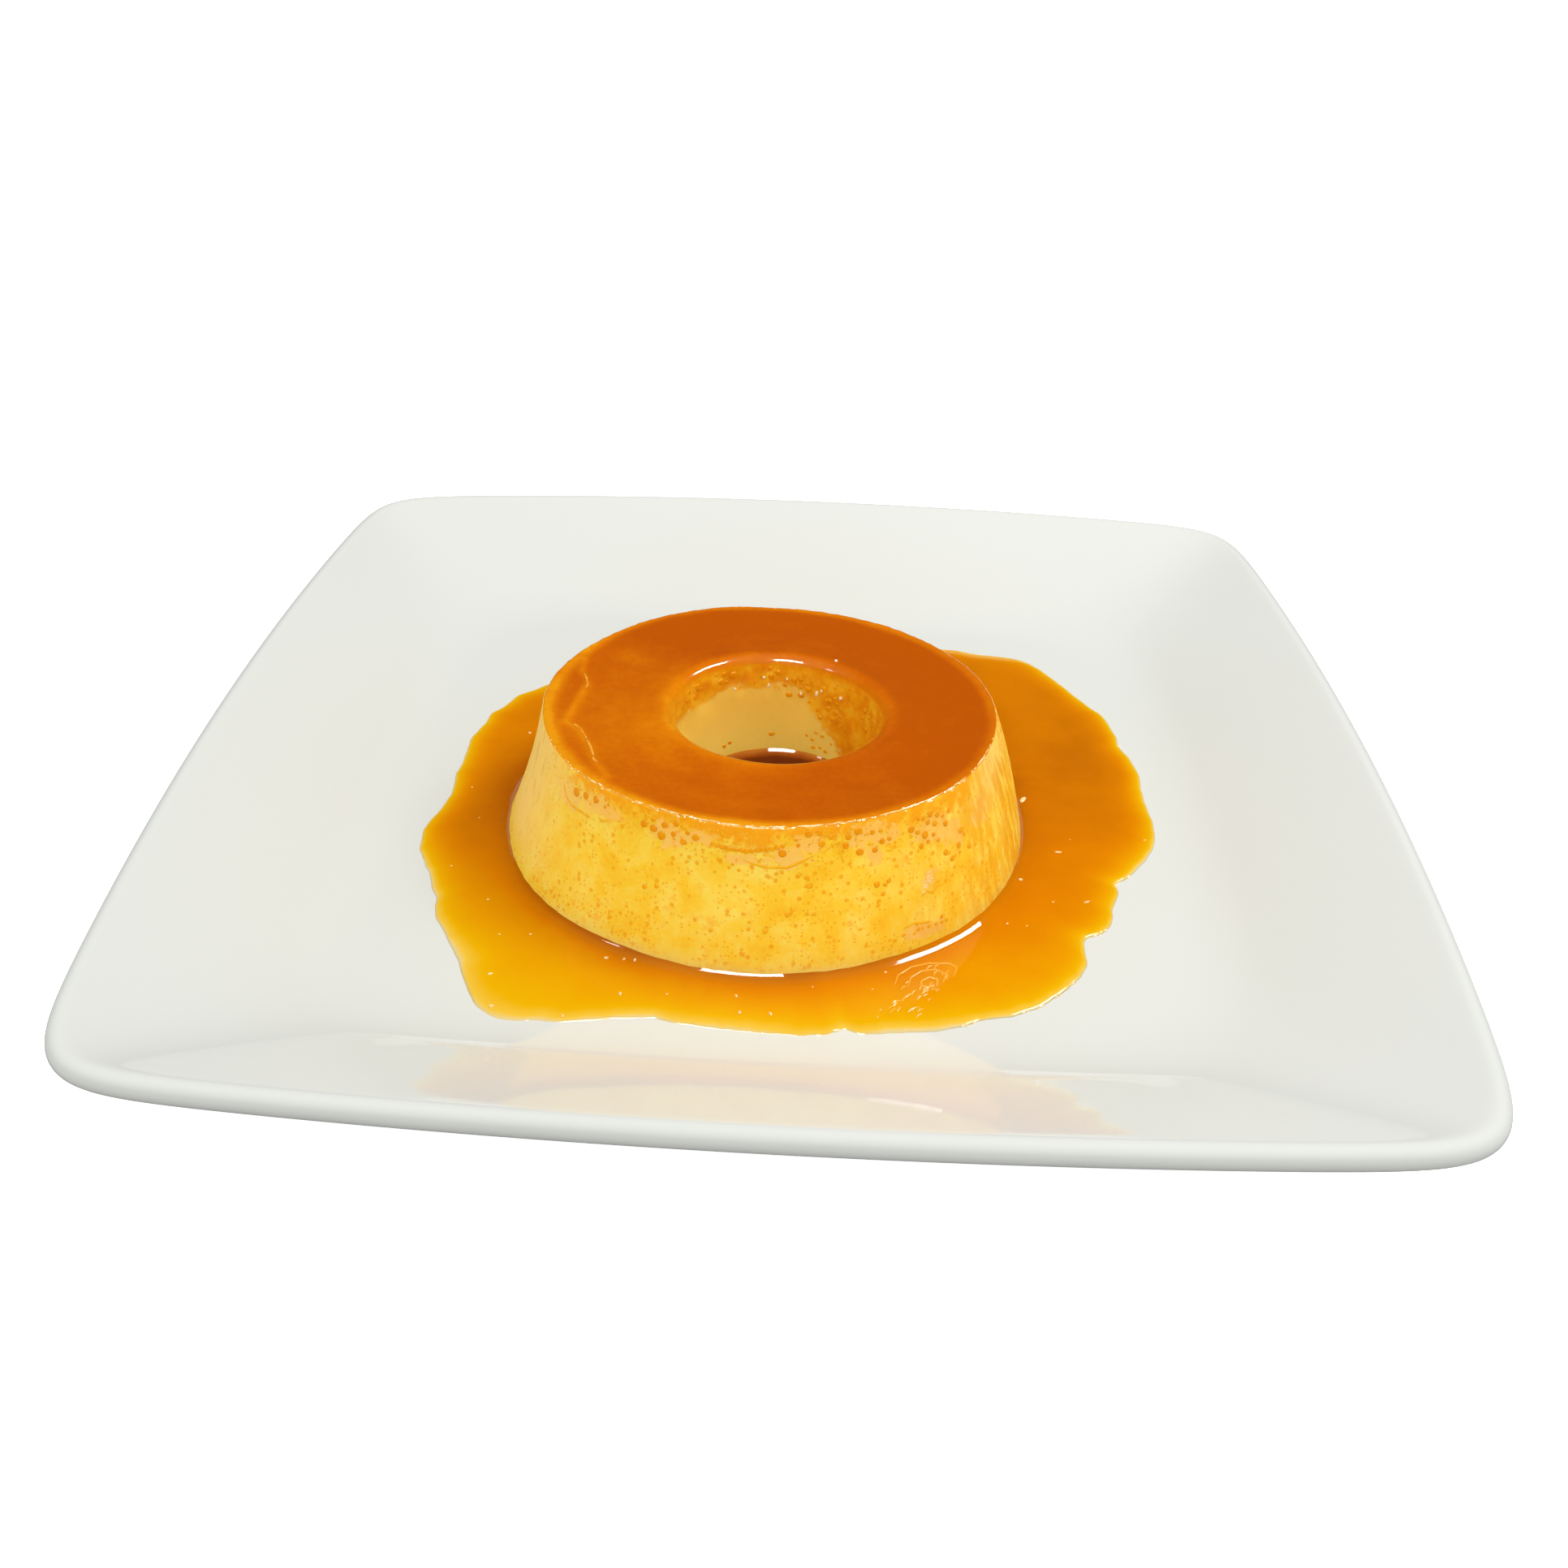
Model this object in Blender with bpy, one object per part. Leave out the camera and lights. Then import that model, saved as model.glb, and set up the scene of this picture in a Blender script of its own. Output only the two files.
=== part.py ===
"""A ring-shaped caramel pudding, turned out on a square porcelain plate in a puddle of its own caramel.

Lengths below are in millimetres and the finished meshes are in metres. The origin is at the middle of the
plate, on the surface that it stands on, with +Z up, +X to the right and +Y away from the front edge.
"""

from math import cos, exp, hypot, pi, radians, sin

import bmesh
import bpy

MM = 0.001
CLEARANCE = 0.3  # between pieces that touch

# Plate: half-widths are measured from the middle to the middle of a side.
PLATE_HALF_WIDTH = 132.5
PLATE_FLOOR = 6.0  # height of the flat eating surface
PLATE_FLOOR_THICKNESS = 4.0
LIP_RADIUS = 2.5  # the rolled edge, half the thickness of the wall there
WELL_HALF_WIDTH = 84.0  # where the flat floor starts to curve up
WALL_FOOT_HALF_WIDTH = 100.0  # where the straight, sloping wall takes over
WALL_SLOPE = radians(27)
FOOT_RING_INNER = 71.0
FOOT_RING_OUTER = 77.5
FOOT_RING_EDGE = 1.4  # run of the foot ring's sloping sides
RIM_BOW = 0.0495  # how far each side swells out, as a share of the half-width
RIM_CORNER_POWER = 20.8  # higher is a tighter corner
RIM_CORNER_SAG = 1.4  # how far the rim dips towards its corners
WELL_BOW = 0.03
WELL_CORNER_POWER = 7.0

# Pudding: a truncated cone with a tapering hole down the middle.
PUDDING_CENTRE = (-3.6, -13.5)
PUDDING_HEIGHT = 30.6  # above the plate's floor
PUDDING_BASE_RADIUS = 58.1
PUDDING_TOP_RADIUS = 49.8
PUDDING_SIDE_BULGE = 0.8  # outwards on the right, and as much inwards on the left
PUDDING_RIM_ROUND = 1.4
PUDDING_TOP_TILT = -0.024  # rise of the top for each millimetre towards the back
TOP_SWELL = 1.3  # an extra rise at the back left
TOP_SWELL_BEARING = radians(118)
TOP_SWELL_SPREAD = radians(42)
TOP_DISHING = 0.3  # how far the top sinks between its two rims
HOLE_OFFSET = (1.6, -0.5)
HOLE_TOP_RADIUS = 22.6
HOLE_BASE_RADIUS = 18.8
HOLE_RIM_ROUND = 3.0

# Caramel: a deep pool caught in the hole, and a thin puddle round the pudding.
HOLE_CARAMEL_DEPTH = 6.6
PUDDLE_DEPTH = 1.5
PUDDLE_EDGE_DEPTH = 0.5
MENISCUS_RISE = 0.5
MENISCUS_RUN = 2.2
PUDDLE_RADIUS = 72.5  # where no tongue of caramel has run further
# Each tongue: bearing from the pudding's middle in degrees, extra reach in mm, half spread in degrees.
PUDDLE_TONGUES = (
    (46, 28, 46),
    (51, 5, 6),
    (123, 10, 23),
    (151, 6, 18),
    (190, 5, 10),
    (217, 7, 18),
    (236, 13, 11),
    (316, 10, 24),
    (329, -3, 3),
    (359, 5, 10),
)

PLATE_SEGMENTS = 80
CORNER_CROWDING = 0.19  # in radians, draws the plate's points towards its corners
PUDDING_SEGMENTS = 72
PUDDLE_SEGMENTS = 120
POOL_SEGMENTS = 48


def material(name, colour, roughness):
    """A plain Principled material."""
    made = bpy.data.materials.new(name)
    made.use_nodes = True
    shader = made.node_tree.nodes["Principled BSDF"]
    shader.inputs["Base Color"].default_value = (*colour, 1.0)
    shader.inputs["Roughness"].default_value = roughness
    shader.inputs["Metallic"].default_value = 0.0
    return made


def lofted_solid(name, loops, look, is_ring):
    """One closed solid skinned through matching loops of points, given in millimetres.

    A ring's last loop joins its first. Any other solid is closed by a face across each end loop.
    """
    body = bmesh.new()
    rows = []
    for loop in loops:
        corners = [body.verts.new([MM * value for value in point]) for point in loop]
        rows.append([body.edges.new(pair) for pair in zip(corners, corners[1:] + corners[:1])])
    following = rows[1:] + rows[:1] if is_ring else rows[1:]
    for row, next_row in zip(rows, following):
        bmesh.ops.bridge_loops(body, edges=row + next_row)
    if not is_ring:
        for end in (rows[0], rows[-1]):
            bmesh.ops.contextual_create(body, geom=end)
    bmesh.ops.recalc_face_normals(body, faces=body.faces)
    mesh = bpy.data.meshes.new(name)
    body.to_mesh(mesh)
    body.free()
    mesh.shade_smooth()
    mesh.set_sharp_from_angle(angle=radians(50))
    mesh.materials.append(look)
    made = bpy.data.objects.new(name, mesh)
    bpy.context.scene.collection.objects.link(made)
    return made


def smooth_step(low, high, value):
    """0 below low, 1 above high, and an even S-curve between them."""
    share = min(max((value - low) / (high - low), 0.0), 1.0)
    return share * share * (3.0 - 2.0 * share)


def section_arc(centre, radius, first, last, steps):
    """Points of a circular arc in an upright section, from one bearing to another."""
    turn = (last - first) / steps
    bearings = [first + turn * step for step in range(steps + 1)]
    return [(centre[0] + radius * cos(b), centre[1] + radius * sin(b)) for b in bearings]


# ---------------------------------------------------------------- plate


def square_outline(half_width, height):
    """A level loop of the plate: a square with bowed sides, whose corners tighten from well to lip.

    Past the middle of the lip's thickness the loop only grows outwards, so the lip stays round.
    """
    lip_middle = PLATE_HALF_WIDTH - LIP_RADIUS
    share = smooth_step(WELL_HALF_WIDTH, lip_middle, half_width)
    bow = WELL_BOW + (RIM_BOW - WELL_BOW) * share
    power = WELL_CORNER_POWER * (RIM_CORNER_POWER / WELL_CORNER_POWER) ** share
    corner = 1.0 - bow
    scale = min(half_width, lip_middle)
    flat = []
    for step in range(PLATE_SEGMENTS):
        even = 2.0 * pi * step / PLATE_SEGMENTS
        bearing = even + CORNER_CROWDING * sin(4.0 * even)
        across, along = abs(cos(bearing)), abs(sin(bearing))
        reach = 1.0
        for _ in range(10):  # settles on the radius where the bowed square is reached
            side_x = reach * across + bow * (reach * along / corner) ** 2
            side_y = reach * along + bow * (reach * across / corner) ** 2
            reach /= (side_x**power + side_y**power) ** (1.0 / power)
        flat.append((reach * cos(bearing), reach * sin(bearing)))
    loop = []
    for before, (x, y), after in zip(flat[-1:] + flat[:-1], flat, flat[1:] + flat[:1]):
        run_x, run_y = after[0] - before[0], after[1] - before[1]
        growth = (half_width - scale) / hypot(run_x, run_y)
        sag = RIM_CORNER_SAG * share * (x * y) ** 2
        loop.append((scale * x + growth * run_y, scale * y - growth * run_x, height - sag))
    return loop


def plate_section():
    """Half-width and height of each loop, from the floor over the lip to the middle of the underside."""
    fillet = (WALL_FOOT_HALF_WIDTH - WELL_HALF_WIDTH) / sin(WALL_SLOPE)
    fillet_centre = (WELL_HALF_WIDTH, PLATE_FLOOR + fillet)
    inner_curve = section_arc(fillet_centre, fillet, -pi / 2, WALL_SLOPE - pi / 2, 4)
    wall_start = inner_curve[-1]
    lip_x = PLATE_HALF_WIDTH - LIP_RADIUS
    wall_run = lip_x - LIP_RADIUS * sin(WALL_SLOPE) - wall_start[0]
    wall_rise = wall_run * sin(WALL_SLOPE) / cos(WALL_SLOPE)
    lip_z = wall_start[1] + wall_rise - LIP_RADIUS * cos(WALL_SLOPE)
    wall = [(wall_start[0] + wall_run * s, wall_start[1] + wall_rise * s) for s in (0.35, 0.7)]
    lip = section_arc((lip_x, lip_z), LIP_RADIUS, WALL_SLOPE + pi / 2, WALL_SLOPE - pi / 2, 7)
    outer_curve = section_arc(
        fillet_centre, fillet + PLATE_FLOOR_THICKNESS, WALL_SLOPE - pi / 2, -pi / 2, 3
    )
    underside = PLATE_FLOOR - PLATE_FLOOR_THICKNESS
    foot = [
        (FOOT_RING_OUTER, underside),
        (FOOT_RING_OUTER - FOOT_RING_EDGE, 0.0),
        (FOOT_RING_INNER + FOOT_RING_EDGE, 0.0),
        (FOOT_RING_INNER, underside),
    ]
    return inner_curve + wall + lip + outer_curve + foot


def build_plate():
    loops = [square_outline(half_width, height) for half_width, height in plate_section()]
    glaze = material("white_porcelain", (0.86, 0.86, 0.84), 0.12)
    return lofted_solid("plate", loops, glaze, is_ring=False)


# ---------------------------------------------------------------- pudding


def unevenness(bearing):
    """Slow swelling of the pudding's side, in millimetres: set custard is never quite round."""
    return 0.35 * sin(2.0 * bearing + 0.7) + 0.3 * sin(3.0 * bearing - 1.1) + 0.15 * sin(7.0 * bearing)


def side_radius(height, bearing):
    """Radius of the pudding's outer side at a height above the floor."""
    share = height / PUDDING_HEIGHT
    cone = PUDDING_BASE_RADIUS + (PUDDING_TOP_RADIUS - PUDDING_BASE_RADIUS) * share
    return cone + PUDDING_SIDE_BULGE * cos(bearing) * sin(pi * share) + unevenness(bearing)


def top_rise(bearing, radius):
    """How far the top stands above its middle height: it tips to the front and swells at the back left."""
    swell = TOP_SWELL * exp(-(((bearing - TOP_SWELL_BEARING) / TOP_SWELL_SPREAD) ** 2))
    return PUDDING_TOP_TILT * radius * sin(bearing) + swell * radius / PUDDING_TOP_RADIUS


def hole_radius(height):
    """Radius of the hole's wall at a height above the floor."""
    return HOLE_BASE_RADIUS + (HOLE_TOP_RADIUS - HOLE_BASE_RADIUS) * height / PUDDING_HEIGHT


def custard_loop(height, hole_share, radius_at):
    """A loop of the pudding's skin, with its radius given for each bearing.

    hole_share slides the loop's middle from the pudding's axis, at 0, to the hole's, at 1.
    """
    centre_x = PUDDING_CENTRE[0] + HOLE_OFFSET[0] * hole_share
    centre_y = PUDDING_CENTRE[1] + HOLE_OFFSET[1] * hole_share
    loop = []
    for step in range(PUDDING_SEGMENTS):
        bearing = 2.0 * pi * step / PUDDING_SEGMENTS
        radius = radius_at(bearing)
        rise = top_rise(bearing, radius) * height / PUDDING_HEIGHT
        x = centre_x + radius * cos(bearing)
        y = centre_y + radius * sin(bearing)
        loop.append((x, y, PLATE_FLOOR + height + rise))
    return loop


def build_pudding():
    rim = PUDDING_RIM_ROUND
    lip = HOLE_RIM_ROUND
    outer_rim = section_arc((PUDDING_TOP_RADIUS - rim, PUDDING_HEIGHT - rim), rim, 0.0, pi / 2, 3)
    top_middle = (0.5 * (PUDDING_TOP_RADIUS + HOLE_TOP_RADIUS), PUDDING_HEIGHT - TOP_DISHING)
    hole_rim = section_arc((HOLE_TOP_RADIUS + lip, PUDDING_HEIGHT - lip), lip, pi / 2, pi, 4)
    loops = []
    for height in (CLEARANCE, 1.5, 5.0, 10.0, 15.0, 20.0, 25.0):
        loops.append(custard_loop(height, 0.0, lambda bearing: side_radius(height, bearing)))
    for radius, height in outer_rim:
        loops.append(custard_loop(height, 0.0, lambda bearing: radius + unevenness(bearing)))
    loops.append(custard_loop(top_middle[1], 0.5, lambda bearing: top_middle[0]))
    for radius, height in hole_rim:
        loops.append(custard_loop(height, 1.0, lambda bearing: radius))
    for height in (20.0, 12.0, HOLE_CARAMEL_DEPTH, CLEARANCE):
        loops.append(custard_loop(height, 1.0, lambda bearing: hole_radius(height)))
    custard = material("egg_custard", (0.93, 0.62, 0.19), 0.32)
    return lofted_solid("pudding", loops, custard, is_ring=True)


# ---------------------------------------------------------------- caramel


def puddle_reach(bearing):
    """Distance from the pudding's middle to the puddle's edge."""
    reach = PUDDLE_RADIUS
    for centre, extra, spread in PUDDLE_TONGUES:
        away = (bearing * 180.0 / pi - centre + 180.0) % 360.0 - 180.0
        reach += extra * exp(-((away / spread) ** 2))
    return reach


def puddle_loop(share, height, inset):
    """A loop of the puddle. share runs from 0 at the pudding's side to 1 at the puddle's edge."""
    loop = []
    for step in range(PUDDLE_SEGMENTS):
        bearing = 2.0 * pi * step / PUDDLE_SEGMENTS
        inner = side_radius(height, bearing) + CLEARANCE
        radius = inner + (puddle_reach(bearing) - inner) * share + inset
        x = PUDDING_CENTRE[0] + radius * cos(bearing)
        y = PUDDING_CENTRE[1] + radius * sin(bearing)
        loop.append((x, y, PLATE_FLOOR + height))
    return loop


def build_puddle():
    bottom = CLEARANCE
    loops = [
        puddle_loop(0.0, bottom, 0.0),
        puddle_loop(0.0, PUDDLE_DEPTH + MENISCUS_RISE, 0.0),
        puddle_loop(0.0, PUDDLE_DEPTH, MENISCUS_RUN),
        puddle_loop(1.0, PUDDLE_DEPTH - 0.1, -3.5),
        puddle_loop(1.0, 0.5 * (PUDDLE_DEPTH + PUDDLE_EDGE_DEPTH), -1.0),
        puddle_loop(1.0, PUDDLE_EDGE_DEPTH, 0.0),
        puddle_loop(1.0, bottom, -0.3),
    ]
    caramel = material("amber_caramel", (0.80, 0.36, 0.03), 0.08)
    return lofted_solid("caramel_puddle", loops, caramel, is_ring=True)


def pool_loop(height, inset):
    """A loop of the caramel caught in the hole."""
    radius = hole_radius(height) - CLEARANCE - inset
    centre_x = PUDDING_CENTRE[0] + HOLE_OFFSET[0]
    centre_y = PUDDING_CENTRE[1] + HOLE_OFFSET[1]
    bearings = [2.0 * pi * step / POOL_SEGMENTS for step in range(POOL_SEGMENTS)]
    return [(centre_x + radius * cos(b), centre_y + radius * sin(b), PLATE_FLOOR + height) for b in bearings]


def build_pool():
    surface = HOLE_CARAMEL_DEPTH
    loops = [
        pool_loop(CLEARANCE, 0.0),
        pool_loop(surface + MENISCUS_RISE, 0.0),
        pool_loop(surface + 0.1, 1.1),
        pool_loop(surface, MENISCUS_RUN),
    ]
    caramel = material("dark_caramel", (0.16, 0.04, 0.01), 0.06)
    return lofted_solid("caramel_pool", loops, caramel, is_ring=False)


def main():
    for left_over in list(bpy.data.objects):
        bpy.data.objects.remove(left_over)
    build_plate()
    build_pudding()
    build_puddle()
    build_pool()


main()
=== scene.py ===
"""Looks for a ring-shaped caramel pudding, turned out on a square porcelain plate in its own caramel.

Helper lengths are in millimetres from the middle of the plate's foot, and MM turns them into metres. Bearings run
anticlockwise from +X, seen from above, and the front of the plate is at 270 degrees.
"""

import random
from math import atan2, cos, degrees, exp, hypot, pi, radians, sin, tan

import bmesh
import bpy
from mathutils import Matrix, Vector, noise


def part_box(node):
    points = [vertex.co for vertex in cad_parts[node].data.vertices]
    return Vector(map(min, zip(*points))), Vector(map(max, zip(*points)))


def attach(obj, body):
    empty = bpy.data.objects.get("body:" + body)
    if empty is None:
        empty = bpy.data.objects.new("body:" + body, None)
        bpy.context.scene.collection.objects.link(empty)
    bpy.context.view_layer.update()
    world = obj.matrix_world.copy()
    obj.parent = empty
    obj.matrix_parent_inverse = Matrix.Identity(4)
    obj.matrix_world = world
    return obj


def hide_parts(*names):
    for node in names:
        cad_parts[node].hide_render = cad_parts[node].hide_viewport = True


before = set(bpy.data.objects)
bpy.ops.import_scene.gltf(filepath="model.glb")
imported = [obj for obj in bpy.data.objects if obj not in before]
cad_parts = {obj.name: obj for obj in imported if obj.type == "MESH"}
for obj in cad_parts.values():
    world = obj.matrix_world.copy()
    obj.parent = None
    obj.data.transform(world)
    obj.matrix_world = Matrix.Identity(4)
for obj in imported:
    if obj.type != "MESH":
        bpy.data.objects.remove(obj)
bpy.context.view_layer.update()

MM = 0.001

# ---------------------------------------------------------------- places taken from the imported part

plate_low, plate_high = (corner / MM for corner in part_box("plate"))
pudding_low, pudding_high = (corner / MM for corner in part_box("pudding"))
puddle_low, puddle_high = (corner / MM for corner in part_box("caramel_puddle"))
pool_low, pool_high = (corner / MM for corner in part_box("caramel_pool"))

TOUCH_GAP = 0.3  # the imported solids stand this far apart, and the pieces here close it
FLOOR = pudding_low.z - TOUCH_GAP  # height of the plate's eating surface
PUDDING_MIDDLE = Vector((-3.6, -13.5))
HOLE_MIDDLE = Vector(((pool_low.x + pool_high.x) / 2, (pool_low.y + pool_high.y) / 2))
HOLE_SHIFT = HOLE_MIDDLE - PUDDING_MIDDLE

# ---------------------------------------------------------------- small helpers


def smooth_step(low, high, value):
    """0 below low, 1 above high, and an even S-curve between them."""
    share = min(max((value - low) / (high - low), 0.0), 1.0)
    return share * share * (3.0 - 2.0 * share)


def mix(first, second, share):
    return first + (second - first) * share


def bell(away, spread):
    """1 in the middle, falling away evenly on both sides."""
    return exp(-((away / spread) ** 2))


def turned_from(bearing, centre):
    """Signed degrees from a bearing given in degrees to one given in radians."""
    return (degrees(bearing) - centre + 180.0) % 360.0 - 180.0


def lumps(x, y, z, size, seed=0.0):
    """Even unevenness from -1 to 1, whose swells are about size millimetres across."""
    return noise.noise(Vector((x / size + seed, y / size - seed, z / size + 2.0 * seed)))


def spun_skin(name, stations, segments, cuts, place, marks=()):
    """A skin spun round from a row of numbered stations and cut finer.

    place(station, bearing) gives each point's place in millimetres and its marks, one for each name in marks.
    """
    body = bmesh.new()
    station = body.verts.layers.float.new("station")
    layers = [body.verts.layers.float.new(mark) for mark in marks]
    station = body.verts.layers.float["station"]
    section = []
    for number in range(stations + 1):
        point = body.verts.new((1.0, 0.0, float(number)))
        point[station] = number
        section.append(point)
    for pair in zip(section, section[1:]):
        body.edges.new(pair)
    bmesh.ops.spin(
        body, geom=body.verts[:] + body.edges[:], cent=(0, 0, 0), axis=(0, 0, 1), angle=2 * pi,
        steps=segments, use_merge=True,
    )
    if cuts:
        bmesh.ops.subdivide_edges(body, edges=body.edges[:], cuts=cuts, use_grid_fill=True)
    station = body.verts.layers.float["station"]
    layers = [body.verts.layers.float[mark] for mark in marks]
    for point in body.verts:
        spot, values = place(point[station], atan2(point.co.y, point.co.x) % (2.0 * pi))
        point.co = Vector(spot) * MM
        for layer, value in zip(layers, values):
            point[layer] = value
    bmesh.ops.remove_doubles(body, verts=body.verts[:], dist=1e-6)
    bmesh.ops.recalc_face_normals(body, faces=body.faces[:])
    return finished_piece(name, body)


def finished_piece(name, body):
    """Turns a bmesh into a smooth piece, at the origin and unturned."""
    mesh = bpy.data.meshes.new(name)
    body.to_mesh(mesh)
    body.free()
    mesh.shade_smooth()
    piece = bpy.data.objects.new(name, mesh)
    bpy.context.scene.collection.objects.link(piece)
    return piece


def dress(piece, finish, slot, *nodes):
    """Gives a piece its finish and its place on the body."""
    piece.data.materials.append(finish)
    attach(piece, "root")
    if nodes:
        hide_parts(*nodes)


# ---------------------------------------------------------------- finishes


def colour(red, green, blue):
    """A screen colour, 0 to 255, as the linear colour a shader takes."""
    linear = []
    for value in (red, green, blue):
        share = value / 255.0
        linear.append(share / 12.92 if share <= 0.04045 else ((share + 0.055) / 1.055) ** 2.4)
    return (*linear, 1.0)


class Finish:
    """A material being built: its tree, its main shader and short ways to add to them."""

    def __init__(self, name, **settings):
        self.material = bpy.data.materials.new(name)
        self.material.use_nodes = True
        self.tree = self.material.node_tree
        self.shader = self.tree.nodes["Principled BSDF"]
        for socket, value in settings.items():
            self.shader.inputs[socket.replace("_", " ")].default_value = value

    def add(self, kind, sockets=(), **settings):
        """A node of a kind. Sockets are fed a number, a colour or another node's output."""
        made = self.tree.nodes.new("ShaderNode" + kind)
        for setting, value in settings.items():
            setattr(made, setting, value)
        for socket, value in dict(sockets).items():
            self.feed(made, socket, value)
        return made

    def feed(self, made, socket, value):
        if isinstance(value, bpy.types.NodeSocket):
            self.tree.links.new(value, made.inputs[socket])
        else:
            made.inputs[socket].default_value = value

    def place(self, stretch=(1.0, 1.0, 1.0)):
        """The piece's own coordinates in metres, stretched."""
        spot = self.add("TexCoord").outputs["Object"]
        return self.add("Mapping", {"Vector": spot, "Scale": stretch}).outputs["Vector"]

    def mark(self, name):
        return self.add("Attribute", attribute_name=name).outputs["Fac"]

    def clouds(self, scale, detail=3.0, rough=0.55, stretch=(1.0, 1.0, 1.0)):
        sockets = {"Vector": self.place(stretch), "Scale": scale, "Detail": detail, "Roughness": rough}
        return self.add("TexNoise", sockets).outputs["Fac"]

    def dots(self, scale, feature="F1"):
        sockets = {"Vector": self.place(), "Scale": scale}
        return self.add("TexVoronoi", sockets, feature=feature)

    def sum(self, first, second, kind="ADD"):
        return self.add("Math", {0: first, 1: second}, operation=kind).outputs[0]

    def fade(self, value, low, high, to_low=0.0, to_high=1.0):
        """value between low and high, carried over to run from to_low to to_high."""
        sockets = {"Value": value, "From Min": low, "From Max": high, "To Min": to_low, "To Max": to_high}
        return self.add("MapRange", sockets, interpolation_type="SMOOTHSTEP").outputs["Result"]

    def blend(self, share, first, second):
        sockets = {0: share, 6: first, 7: second}
        return self.add("Mix", sockets, data_type="RGBA").outputs[2]

    def ramp(self, value, stops):
        """A run of colours, each with the value that it stands at."""
        made = self.add("ValToRGB", {"Fac": value})
        band = made.color_ramp
        for number, (position, tint) in enumerate(stops):
            stop = band.elements[number] if number < 2 else band.elements.new(position)
            stop.position = position
            stop.color = tint
        return made.outputs["Color"]

    def relief(self, height, depth, strength=1.0, over=None):
        """Fine relief, depth metres deep, laid over any relief already there."""
        sockets = {"Height": height, "Distance": depth, "Strength": strength}
        if over is not None:
            sockets["Normal"] = over
        return self.add("Bump", sockets).outputs["Normal"]

    def paint(self, tint=None, gloss=None, normal=None):
        for socket, value in (("Base Color", tint), ("Roughness", gloss), ("Normal", normal)):
            if value is not None:
                self.feed(self.shader, socket, value)
        return self.material


def porcelain_finish():
    """White glaze with a breath of warmth, a few iron specks and a bare foot ring."""
    glaze = Finish("white_glazed_porcelain", IOR=1.5)
    body = glaze.blend(glaze.clouds(9.0, 2.0), colour(223, 225, 219), colour(227, 229, 223))
    specks = glaze.dots(95.0)
    rare = glaze.fade(glaze.add("SeparateColor", {"Color": specks.outputs["Color"]}).outputs[0], 0.985, 0.99)
    speck = glaze.sum(glaze.fade(specks.outputs["Distance"], 0.02, 0.035, 1.0, 0.0), rare, "MULTIPLY")
    tint = glaze.blend(speck, body, colour(150, 138, 120))
    foot = glaze.mark("foot")
    tint = glaze.blend(foot, tint, colour(206, 202, 192))
    gloss = glaze.fade(foot, 0.0, 1.0, 0.05, 0.7)
    ripple = glaze.relief(glaze.clouds(60.0, 2.0), 0.00002, 0.5)
    return glaze.paint(tint, gloss, ripple)


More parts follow.
